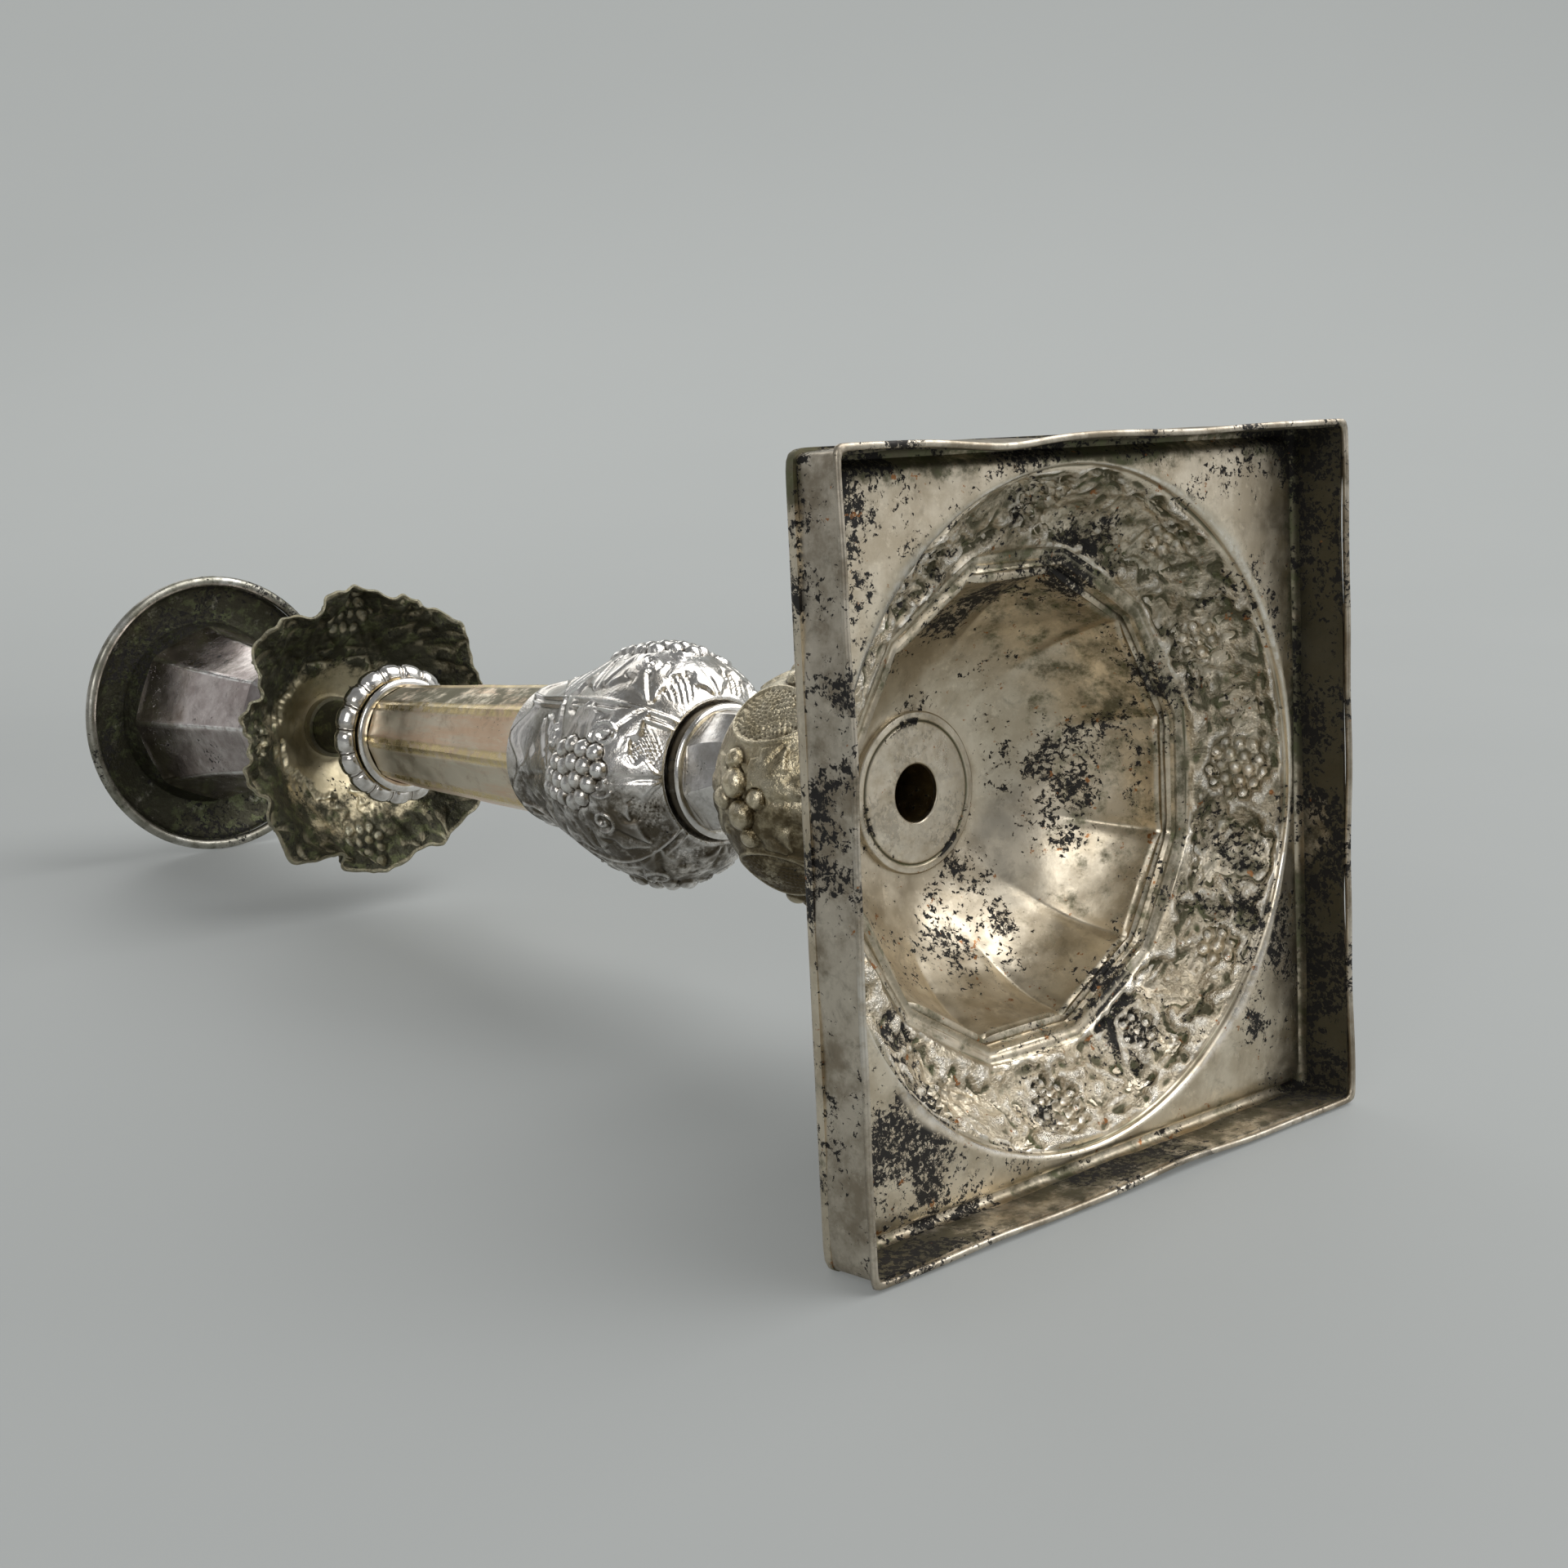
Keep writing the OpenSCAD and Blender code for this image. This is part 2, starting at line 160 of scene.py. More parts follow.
def ripple(points, size, seed, count=7):
    """Smooth random waves of about the given size in metres, from -1 to 1."""
    random = np.random.default_rng(seed)
    heading = random.normal(size=(count, 3))
    heading /= np.linalg.norm(heading, axis=1, keepdims=True)
    pitch = size * random.uniform(0.7, 1.5, count)
    phase = random.uniform(0, TURN, count)
    return np.sin(points @ (heading.T * TURN / pitch) + phase).sum(axis=-1) / math.sqrt(count)


def placed(name, data):
    """A new object in the scene."""
    thing = bpy.data.objects.new(name, data)
    bpy.context.scene.collection.objects.link(thing)
    return thing


def label_points(mesh, label, values):
    """Gives a mesh an attribute with one value for each of its points."""
    attribute = mesh.attributes.new(label, "FLOAT", "POINT")
    attribute.data.foreach_set("value", values.astype(np.float32).ravel())


def piece(name, rings, wear, body, slot, soil_and_shade=0.0, chased=0.0):
    """Builds a closed mesh from a loop of rings, hangs it on its body and puts it for its CAD node.
    wear is 1 where the metal is rubbed bright and 0 in a recess; the soil value is 1 where it is black, from
    dirt and from painted shade, and below 0 where it is clean but flecked; chased is how rough the chaser's
    punches left it."""
    rows, columns, _ = rings.shape
    index = np.arange(rows * columns).reshape(rows, columns)
    right = np.roll(index, -1, 1)
    quads = np.stack([index, right, np.roll(right, -1, 0), np.roll(index, -1, 0)], axis=2)
    mesh = bpy.data.meshes.new(name)
    mesh.vertices.add(rows * columns)
    mesh.vertices.foreach_set("co", rings.astype(np.float32).ravel())
    mesh.loops.add(quads.size)
    mesh.loops.foreach_set("vertex_index", quads.astype(np.int32).ravel())
    mesh.polygons.add(quads.size // 4)
    mesh.polygons.foreach_set("loop_start", np.arange(0, quads.size, 4, dtype=np.int32))
    mesh.update(calc_edges=True)
    mesh.polygons.foreach_set("use_smooth", np.ones(quads.size // 4, bool))
    mesh.set_sharp_from_angle(angle=math.radians(62))
    for label, values in (("wear", wear), ("soil_and_shade", soil_and_shade), ("chased", chased)):
        label_points(mesh, label, np.broadcast_to(values, (rows, columns)))
    mesh.materials.append(PAINTS[slot])
    thing = placed(name, mesh)
    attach(thing, body)
    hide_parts(name)


def polish(relief, ground=0.55, gain=1.0, times=24):
    """Wear of a relief: bright on its crests, dark in the crevices beside them."""
    return np.clip(ground + gain * (relief - soften(relief, times)), 0, 1)


def darkened_side(columns, most, centre=2.2, spread=1.5):
    """Darkening down one side of the stem, most at the angle centre; by default the side it lies on."""
    return most * ramp(spread, 0.3 * spread, abs(beside(turns(columns), centre)))[None, :]


def faces(outer, inner=None):
    """Values of a sheet's outer face, then of its inner one, where they are the same if not given."""
    return np.concatenate([outer, (outer if inner is None else inner)[::-1]])


def bored(outside, inside=0.3):
    """Values of a solid ring's outer face, followed by a single one for its plain bore."""
    return np.concatenate([outside, np.full((2, outside.shape[1]), inside)])


def beside(turn, centre, period=TURN):
    """Angle from the nearest of some centre lines, which repeat after every period."""
    return (turn - centre + period / 2) % period - period / 2


# -------------------- ornament, in millimetres


def ramp(start, end, value):
    """Smooth step from 0 at start to 1 at end."""
    share = np.clip((value - start) / (end - start), 0, 1)
    return share * share * (3 - 2 * share)


def turned(x, y, x0, y0, angle):
    """The coordinates seen from a motif's root, whose axis points along +y turned by angle."""
    dx = x - x0
    dy = y - y0
    c, s = math.cos(angle), math.sin(angle)
    return dx * c + dy * s, dy * c - dx * s


def beaten(points):
    """A ground of small punched dots, in rows that wander a little."""
    pitch = 1.7
    wander = 0.3 * ripple(points, 5 * MM, 33)
    x = np.arctan2(points[..., 1], points[..., 0]) * np.hypot(points[..., 0], points[..., 1]) / MM
    y = points[..., 2] / MM
    return 0.3 * np.cos(TURN * (x + wander) / pitch) * np.cos(TURN * (y - wander) / pitch)


def laid_over(height, bunch):
    """A bunch of berries laid on a relief, which is cut down under it so that they stand out."""
    near = ramp(0.1, 0.6, soften((bunch > 0).astype(float), 4))
    return np.maximum(height * (1 - 0.85 * near), bunch)


def line(distance, width):
    """A rounded ridge of the given width at distance 0."""
    return np.exp(-(distance / (0.6 * width)) ** 2)


def berry(x, y, x0, y0, radius):
    """A round berry half sunk in its ground."""
    return np.sqrt(np.clip(1 - ((x - x0) ** 2 + (y - y0) ** 2) / radius ** 2, 0, 1))


def grapes(x, y, x0, y0, rows, pitch, angle=0.0):
    """A bunch of berries in rows of the given counts, from its shoulder to its tip."""
    u, v = turned(x, y, x0, y0, angle)
    height = np.zeros(np.broadcast(x, y).shape)
    for row, count in enumerate(rows):
        for place in range(count):
            across = (place - (count - 1) / 2) * pitch
            along = (row - (len(rows) - 1) / 2) * 0.87 * pitch
            height = np.maximum(height, berry(u, v, across, along, 0.54 * pitch))
    return height


LEAF_LOBES = ((-2.0, 0.5), (-1.0, 0.8), (0.0, 1.0), (1.0, 0.8), (2.0, 0.5))


def vine_leaf(x, y, x0, y0, length, angle=0.0):
    """A five-lobed leaf with a toothed edge and a vein down each lobe; its stalk is at its root."""
    u, v = turned(x, y, x0, y0, angle)
    height = np.zeros(np.broadcast(x, y).shape)
    for turn, share in LEAF_LOBES:
        across, along = turned(u, v, 0, 0, turn)
        place = along / (share * length)
        inside = np.clip(4 * place * (1 - place), 0, 1)
        width = 0.36 * share * length * np.sqrt(inside) * (1 + 0.2 * np.sin(19 * place)) + 1e-6
        body = ramp(0, 0.45, 1 - abs(across) / width) * (inside > 0)
        vein = line(across, 0.07 * length)
        height = np.maximum(height, body * (0.7 + 0.3 * (1 - place) - 0.45 * vein))
    return height


def curl(x, y, x0, y0, size, angle=0.0, hand=1, width=0.7):
    """A tendril that winds in from its root."""
    u, v = turned(x, y, x0, y0, angle)
    share = np.linspace(0, 1, 40)
    spin = 1.35 * TURN * share
    radius = size * (1 - 0.78 * share)
    nearest = np.full(np.broadcast(x, y).shape, 1e9)
    for px, py in zip(hand * (size - radius * np.cos(spin)), radius * np.sin(spin)):
        nearest = np.minimum(nearest, (u - px) ** 2 + (v - py) ** 2)
    return line(np.sqrt(nearest), width)


def vine(turn, radius, along, width, seed, repeats=4):
    """A band crowded with leaves, bunches and tendrils, repeated round the stem and varied by chance."""
    random = np.random.default_rng(seed)
    height = np.zeros(np.broadcast(turn, along).shape)

    def across(share):
        return beside(turn, share * TURN / repeats) * radius

    for part in range(repeats):
        for place in range(14):
            share = part + 0.09 + place * 0.063 + random.uniform(-0.015, 0.015)
            outside = place % 2
            root = width * (random.uniform(0.1, 0.35) if outside else random.uniform(0.65, 0.9))
            tilt = random.uniform(-1.0, 1.0) + (0 if outside else math.pi)
            leaf = vine_leaf(across(share), along, 0, root, random.uniform(9, 14), tilt)
            height = np.maximum(height, random.uniform(0.45, 1.0) * leaf)
        for place in range(6):
            share = part + 0.12 + place * 0.15 + random.uniform(-0.03, 0.03)
            tendril = curl(across(share), along, 0, width * random.uniform(0.3, 0.7), 2.4,
                           random.uniform(0, TURN), 1 - 2 * (place % 2), 0.9)
            height = np.maximum(height, 0.8 * tendril)
        for offset, y0, rows in ((0.0, 0.5, (3, 4, 5, 4, 2)), (0.4, 0.35, (2, 3, 2)),
                                 (0.68, 0.65, (2, 3, 2))):
            tilt = random.uniform(-0.3, 0.3)
            bunch = grapes(across(part + offset), along, 0, y0 * width, rows, 2.9, tilt)
            height = laid_over(height, 1.25 * bunch)
    return height


# -------------------- materials


class Paint:
    """Builds one material's nodes in short calls. Sizes are millimetres on the object."""

    def __init__(self, name):
        self.material = bpy.data.materials.new(name)
        self.material.use_nodes = True
        self.tree = self.material.node_tree
        self.shader = self.tree.nodes["Principled BSDF"]
        self.place = self.node("ShaderNodeTexCoord").outputs["Object"]

    def node(self, kind, **settings):
        node = self.tree.nodes.new(kind)
        for setting, value in settings.items():
            setattr(node, setting, value)
        return node

    def feed(self, socket, value):
        if isinstance(value, bpy.types.NodeSocket):
            self.tree.links.new(value, socket)
        else:
            socket.default_value = value

    def noise(self, size, detail=4, roughness=0.55, stretch=(1, 1, 1), shift=0.0, warp=0.0):
        """Noise about 0.5 whose features are about size across; stretch shortens them along an axis."""
        mapping = self.node("ShaderNodeMapping")
        self.feed(mapping.inputs["Vector"], self.place)
        mapping.inputs["Scale"].default_value = [s / (size * MM) for s in stretch]
        mapping.inputs["Location"].default_value = (shift, 1.7 * shift, 2.3 * shift)
        noise = self.node("ShaderNodeTexNoise")
        self.feed(noise.inputs["Vector"], mapping.outputs["Vector"])
        for socket, amount in (("Scale", 1), ("Detail", detail), ("Roughness", roughness),
                               ("Distortion", warp)):
            noise.inputs[socket].default_value = amount
        return noise.outputs["Fac"]

    def attribute(self, name):
        return self.node("ShaderNodeAttribute", attribute_name=name).outputs["Fac"]

    def ramp(self, value, start, end, low=0.0, high=1.0):
        """Smooth step of a value, from low at start to high at end."""
        step = self.node("ShaderNodeMapRange", interpolation_type="SMOOTHSTEP")
        for socket, amount in zip(("Value", "From Min", "From Max", "To Min", "To Max"),
                                  (value, start, end, low, high)):
            self.feed(step.inputs[socket], amount)
        return step.outputs["Result"]

    def calc(self, operation, first, second):
        node = self.node("ShaderNodeMath", operation=operation)
        self.feed(node.inputs[0], first)
        self.feed(node.inputs[1], second)
        return node.outputs["Value"]

    def times(self, first, second):
        return self.calc("MULTIPLY", first, second)

    def plus(self, first, second):
        return self.calc("ADD", first, second)

    def blend(self, share, first, second):
        """The first colour where share is 0 and the second where it is 1."""
        node = self.node("ShaderNodeMix", data_type="RGBA")
        self.feed(node.inputs["Factor"], share)
        for socket, colour in ((node.inputs[6], first), (node.inputs[7], second)):
            self.feed(socket, colour if isinstance(colour, bpy.types.NodeSocket) else (*colour, 1))
        return node.outputs[2]

    def bump(self, height, depth, below=None):
        """A bump of the given depth in millimetres, over an earlier one."""
        node = self.node("ShaderNodeBump")
        node.inputs["Distance"].default_value = depth * MM
        self.feed(node.inputs["Height"], height)
        if below is not None:
            self.feed(node.inputs["Normal"], below)
        return node.outputs["Normal"]

    def metal(self, colour, roughness, normal):
        for socket, value in (("Base Color", colour), ("Roughness", roughness), ("Normal", normal),
                              ("Metallic", 1)):
            self.feed(self.shader.inputs[socket], value)
        return self.material


OXIDE = (0.052, 0.049, 0.046)
OLIVE = (0.16, 0.15, 0.095)
COPPER = (0.40, 0.19, 0.08)
VERDIGRIS = (0.13, 0.15, 0.07)
SILVER = (0.86, 0.84, 0.80)


def plated(name, bright, dull, soil_and_shade=OLIVE, rub=SILVER, oxide=0.3, fleck=3, patch=22, lace=0.0,
           recess=0.6, gloss=(0.25, 0.5), copper=0.0, green=0.0, grain=(1, 1, 1), scratch=(1, 1, 1),
           dents=0.03, relief=True):
    """Worn silver plate that clouds from bright to dull. The mesh says where it is soiled, where it is
    painted dark as shade, and where it is rubbed; recess is how dark its hollows are. oxide is how
    much of it black flecks cover, in patches, and lace how many of them are thin broken rings; copper
    is how much has lost its plate and green how far the soil has turned; gloss is its range of
    roughness. grain and scratch stretch its clouds and its finest marks along an axis."""
    paint = Paint(name)
    colour = paint.blend(paint.ramp(paint.noise(12, 6, 0.65, grain), 0.38, 0.62), bright, dull)
    darkening = paint.ramp(paint.noise(5, 6, 0.7, shift=3.1, warp=0.6), 0.52, 0.72, 0, 0.5)
    colour = paint.blend(darkening, colour, [0.55 * channel for channel in dull])
    pale = paint.ramp(paint.noise(2.5, 5, 0.7, grain, shift=1.9), 0.55, 0.68, 0, 0.35)
    colour = paint.blend(pale, colour, [min(1, 1.3 * channel) for channel in bright])
    rough = paint.ramp(paint.noise(6, 5, 0.6, shift=5.3), 0.3, 0.7, *gloss)
    normal = paint.bump(paint.noise(9, 3, 0.5, shift=2.2), dents * 6)
    patches = paint.times(paint.noise(patch, 4, 0.6, shift=4.4), 1.1)
    if relief:
        wear = paint.attribute("wear")
        smears = paint.ramp(paint.noise(2, 4, 0.6), 0.3, 0.6)
        rubbed = paint.times(paint.ramp(wear, 0.7, 1.0), smears)
        colour = paint.blend(rubbed, colour, rub)
        rough = paint.calc("SUBTRACT", rough, paint.times(rubbed, 0.1))
        smudge = paint.times(paint.calc("SUBTRACT", paint.noise(5, 6, 0.7, shift=7.7), 0.5), 2.2)
        soiled_and_shaded = paint.ramp(paint.plus(paint.attribute("soil_and_shade"), smudge), 0.3, 0.85)
        soiled_and_shaded = paint.times(soiled_and_shaded, paint.ramp(paint.attribute("soil_and_shade"), 0.0, 0.25))
        hollow = paint.times(paint.ramp(wear, 0.4, 0.02), recess)
        soiled_and_shaded = paint.times(soiled_and_shaded, paint.ramp(wear, 0.6, 0.95, 0.94, 0.4))
        dark = paint.calc("MAXIMUM", soiled_and_shaded, hollow)
        if green:
            turned_green = paint.ramp(paint.noise(4, 5, 0.65, shift=2.7), 0.5, 0.62, 0, green)
            soil_and_shade = paint.blend(turned_green, soil_and_shade, VERDIGRIS)
        colour = paint.blend(dark, colour, soil_and_shade)
        rough = paint.plus(rough, paint.times(dark, 0.2))
        patches = paint.plus(patches, paint.ramp(paint.attribute("soil_and_shade"), 0.55, 1.0, 0, 0.1))
        patches = paint.plus(patches, paint.ramp(paint.attribute("soil_and_shade"), 0.0, -0.5, 0, 0.1))
        rough_ground = paint.times(paint.noise(1.4, 4, 0.65, shift=4.9), paint.attribute("chased"))
        normal = paint.bump(rough_ground, 1.1, normal)
    patches = paint.calc("MINIMUM", patches, 0.7)
    edge = 1.46 - 0.36 * oxide
    flecks = paint.plus(paint.noise(fleck, 7, 0.76, shift=6.1, warp=0.5), patches)
    black = paint.ramp(flecks, edge, edge + 0.02)
    specks = paint.plus(paint.noise(1.3, 5, 0.7, shift=5.7, warp=0.4), patches)
    black = paint.calc("MAXIMUM", black, paint.ramp(specks, edge - 0.075, edge - 0.055))
    if lace:
        ring = paint.calc("ABSOLUTE", paint.calc("SUBTRACT", paint.noise(1.6, 4, 0.6, shift=3.9), 0.5), 0)
        ring = paint.times(paint.ramp(ring, 0.045, 0.02), paint.ramp(patches, 0.62, 0.69, 0, lace))
        black = paint.calc("MAXIMUM", black, ring)
    if relief:
        black = paint.times(black, paint.ramp(wear, 0.64, 0.85, 1, 0.1))
    colour = paint.blend(black, colour, OXIDE)
    if copper:
        bare = paint.ramp(paint.noise(3, 5, 0.65, shift=9.4), 0.78 - 0.22 * copper, 0.82 - 0.22 * copper)
        colour = paint.blend(bare, colour, COPPER)
    rough = paint.plus(rough, paint.times(black, 0.2))
    normal = paint.bump(paint.noise(0.6, 3, 0.6, shift=1.3), dents * 0.5, normal)
    normal = paint.bump(paint.noise(0.4, 2, 0.5, stretch=scratch, shift=8.8), dents * 0.4, normal)
    normal = paint.bump(black, 0.05, normal)
    return paint.metal(colour, rough, normal)


FINISHES = {
    "base_silver": dict(
        bright=(0.73, 0.65, 0.51), dull=(0.55, 0.47, 0.345), rub=(0.90, 0.85, 0.75), oxide=0.63, fleck=2.5,
        lace=0.9, recess=0.95, green=0.6, gloss=(0.28, 0.44), copper=0.6),
    "tarnished_silver": dict(
        bright=(0.62, 0.56, 0.46), dull=(0.32, 0.27, 0.20), soil_and_shade=(0.11, 0.10, 0.065), rub=(0.70, 0.66, 0.58),
        oxide=0.6, fleck=3.5, patch=18, gloss=(0.34, 0.5), copper=0.4),
    "gilded_silver": dict(
        bright=(0.64, 0.57, 0.42), dull=(0.42, 0.35, 0.22), soil_and_shade=(0.10, 0.075, 0.04), rub=(0.84, 0.74, 0.54),
        oxide=0.2, recess=0.95, gloss=(0.12, 0.28)),
    "bright_silver": dict(
        bright=(0.80, 0.77, 0.73), dull=(0.58, 0.54, 0.48), soil_and_shade=(0.085, 0.068, 0.043), oxide=0.25,
        recess=0.9, gloss=(0.13, 0.27)),
    "worn_silver": dict(
        bright=(0.84, 0.75, 0.59), dull=(0.84, 0.61, 0.42), rub=(0.85, 0.68, 0.36), oxide=0.15, recess=0.0,
        gloss=(0.28, 0.42), grain=(1.6, 1.6, 0.25), scratch=(3, 3, 0.1)),
    "cup_silver": dict(
        bright=(0.62, 0.56, 0.53), dull=(0.40, 0.34, 0.32), oxide=0.35, gloss=(0.14, 0.3)),
    "nozzle_silver": dict(
        bright=(0.46, 0.44, 0.38), dull=(0.26, 0.25, 0.20), soil_and_shade=(0.05, 0.048, 0.03), rub=(0.62, 0.61, 0.56),
        oxide=0.5, green=0.6, gloss=(0.26, 0.42)),
    "black_patina": dict(
        bright=(0.66, 0.58, 0.40), dull=(0.52, 0.45, 0.30), soil_and_shade=(0.045, 0.047, 0.033),
        rub=(0.52, 0.50, 0.38), oxide=0.3, recess=0.75, green=0.7, gloss=(0.32, 0.5)),
    "bare_brass": dict(
        bright=(0.52, 0.40, 0.20), dull=(0.30, 0.23, 0.12), oxide=0.45, gloss=(0.35, 0.5), relief=False),
}
PAINTS = {slot: plated(slot, **finish) for slot, finish in FINISHES.items()}


# -------------------- the base

BASE_COLUMNS = 576
TRAY_EDGE = 2.4 * MM
TRAY_SINK = 2.5 * MM
TRAY_SLOPE = 2.0 * MM
TRAY_CORNER = 70  # rounding of the tray's corners, for square_rings
BAND_R = 64.6 * MM
DOME_CORNER_R = 45.5 * MM
DOME_FOOT_R = DOME_CORNER_R + 0.9 * MM
DOME_SIDES = 12
DOME_CORNER = math.pi / DOME_SIDES

# The tray's walls bent in: axis of the wall's normal, its side, place and width along it, depth
KNOCKS = ((1, -1, -30, 13, 1.3), (1, -1, 22, 16, 0.5), (1, 1, 12, 15, 0.9), (1, 1, -38, 10, 0.4),
          (0, -1, -20, 22, 0.6), (0, 1, 30, 20, 0.8))


def knocked(rings):
    """Bends the tray's open edge in, less and less towards the plate."""
    fade = ramp(11, 0, rings[..., 2] / MM)
    for axis, side, place, width, depth in KNOCKS:
        near = ramp(62, 67, side * rings[..., axis] / MM) * fade
        along = (rings[..., 1 - axis] / MM - place) / width
        rings[..., axis] -= side * depth * MM * near * np.exp(-along ** 2)
    return rings


def shaded_upper_right(points):
    """1 on the +X, -Y side of the base, where shade is painted, and 0 on the other."""
    return ramp(-1.5, 1.5, (points[..., 0] - points[..., 1]) / (45 * MM))


def tray_soil_and_shade(points):
    """The tray is blackest along its walls, most of all on the +X and -Y sides, where the extra is painted
    shade, and flecked at -X.
    """
    x, y = points[..., 0] / MM, points[..., 1] / MM
    edge = ramp(57, 69, np.maximum(abs(x), abs(y)))
    right = 0.72 * ramp(55, 66, x) * (1 - 0.55 * ramp(0, 55, y))
    side = 0.2 + right + 0.75 * ramp(-55, -66, y) + 0.2 * ramp(60, 69, y)
    flecked = 0.35 * ramp(85, 120, abs(y) - x) * ramp(40, 50, np.hypot(x, y))
    return edge * side * (1 + 0.3 * ripple(points, 30 * MM, 91)) - flecked * (1 - edge)


def base_plate():
    """The tray's sunken flat top inside its rounded edge, running into the stamped vine band."""
    half = reach("base_plate")
    bottom = low("base_plate")
    top = bottom + 0.9 * MM + TRAY_EDGE
    plate = top - TRAY_SINK
    plate_half = half - TRAY_EDGE - 0.2 * MM - TRAY_SLOPE
    bend = np.linspace(0, math.pi / 2, 7)
    edge = square_rings(
        [(half, bottom)]
        + [(half - TRAY_EDGE * (1 - math.cos(b)), top - TRAY_EDGE * (1 - math.sin(b))) for b in bend]
        + [(plate_half + TRAY_SLOPE * (1 - s), plate + TRAY_SINK * (1 + math.cos(math.pi * s)) / 2)
           for s in np.linspace(0, 1, 6)],
        BASE_COLUMNS, TRAY_CORNER)
    ring = revolve(np.array([[BAND_R + 0.2 * MM, plate]]), BASE_COLUMNS)[0]
    share = np.linspace(0, 1, 8)[1:-1, None, None]
    flat = edge[-1] * (1 - share) + ring * share
    rise = high("base_plate") - plate
    lip = 3.4 * MM
    band = [(BAND_R - (BAND_R - DOME_FOOT_R - lip) * t,
             plate + 0.3 * MM + (rise - 0.9 * MM) * t + 1.4 * MM * math.sin(math.pi * t))
            for t in np.linspace(0, 1, 40)]
    moulding = [(DOME_FOOT_R + lip * (1 - t),
                 plate + rise - 0.6 * MM + 0.6 * MM * t + 0.6 * MM * math.sin(math.pi * t))
                for t in np.linspace(0.1, 1, 12)]
    outline = even([(BAND_R + 0.2 * MM, plate)] + band + moulding, 64)
    along = arc_length(outline)[:, None]
    fold = ramp(9, 2.5, along[-1] - along)
    turn = turns(BASE_COLUMNS)
    slope = revolve(outline, BASE_COLUMNS, polygon(turn, DOME_SIDES, DOME_CORNER) ** (0.9 * fold))
    width = along[-1, 0] - 4.2
    pattern = vine(turn[None, :], outline[:, :1] / MM, along - 1.5, width - 2, seed=5)
    within = ramp(1.0, 2.6, along) * ramp(0, 1.5, width - along)
    crumple = 0.6 * ripple(slope, 9 * MM, 4) + 0.25 * ripple(slope, 4 * MM, 6)
    lines = line(along - 0.9, 0.9) + 0.7 * line(along - width - 0.4, 0.6)
    front = within * (1.7 * pattern + 0.6 * crumple) + 0.6 * lines
    back = within * (2.8 * soften(pattern, 1) + crumple) + 0.6 * lines
    plain = np.zeros((len(edge) + len(flat), BASE_COLUMNS))
    points = np.concatenate([edge, flat, slope])
    inward = ramp(0, 8 * MM, half - abs(points[..., :2]).max(axis=2))
    wave = 0.25 * ripple(points, 45 * MM, 3) * inward
    rings = embossed(points, np.concatenate([plain, front]) + wave, back=np.concatenate([plain, back]) + wave)
    front_wear = np.concatenate([plain + 0.6, polish(front, 0.5, 0.7)])
    # painted shade: on the band's +X, -Y side it is rubbed less and soiled darker, and its moulding is soiled
    # darker there too
    darkening = within * shaded_upper_right(slope)
    back_wear = np.concatenate([plain + 0.6, polish(-back, 0.6 - 0.28 * darkening, 1.5, 14)])
    soil_and_shade = tray_soil_and_shade(points)
    moulded = 0.6 * ramp(width - 1.5, width + 0.5, along) * (0.6 + 0.4 * shaded_upper_right(slope))
    soil_and_shade[-len(slope):] = np.maximum(0.5 * darkening, moulded)
    chased = np.concatenate([plain, within * np.ones(BASE_COLUMNS)])
    piece("base_plate", knocked(rings), faces(front_wear, back_wear), "stand", "base_silver", faces(soil_and_shade),
          faces(0.4 * chased, chased))


def base_skirt():
    """The upright strip round the tray, knocked out of true."""
    half = reach("base_skirt")
    rows = [(half, z) for z in np.linspace(low("base_skirt"), high("base_skirt"), 10)]
    points = square_rings(rows, BASE_COLUMNS, TRAY_CORNER)
    dents = 0.3 * ripple(points, 34 * MM, 11) + 0.12 * ripple(points, 12 * MM, 12) - 0.35
    rings = knocked(embossed(points, dents))
    inside = np.repeat([0.0, 1.0], 10)[:, None]
    soil_and_shade = 0.15 + inside * 1.5 * tray_soil_and_shade(rings)
    piece("base_skirt", rings, 0.5, "stand", "tarnished_silver", soil_and_shade)


def base_edge_strip():
    """The narrow strip soldered along the open edge."""
    half = reach("base_edge_strip")
    height = high("base_edge_strip")
    thick = 1.2 * MM
    round_off = 0.3 * MM
    section = [(half, round_off), (half, height - round_off), (half - round_off, height),
               (half - thick + round_off, height), (half - thick, height - round_off),
               (half - thick, round_off), (half - thick + round_off, 0), (half - round_off, 0)]
    rings = knocked(square_rings(section, BASE_COLUMNS, 100))
    rings[..., 2] += 0.12 * MM * (ripple(rings, 22 * MM, 13) + 1)
    wear = 0.55 + 0.25 * ripple(rings, 25 * MM, 14)
    piece("base_edge_strip", rings, wear, "stand", "tarnished_silver", 0.25)


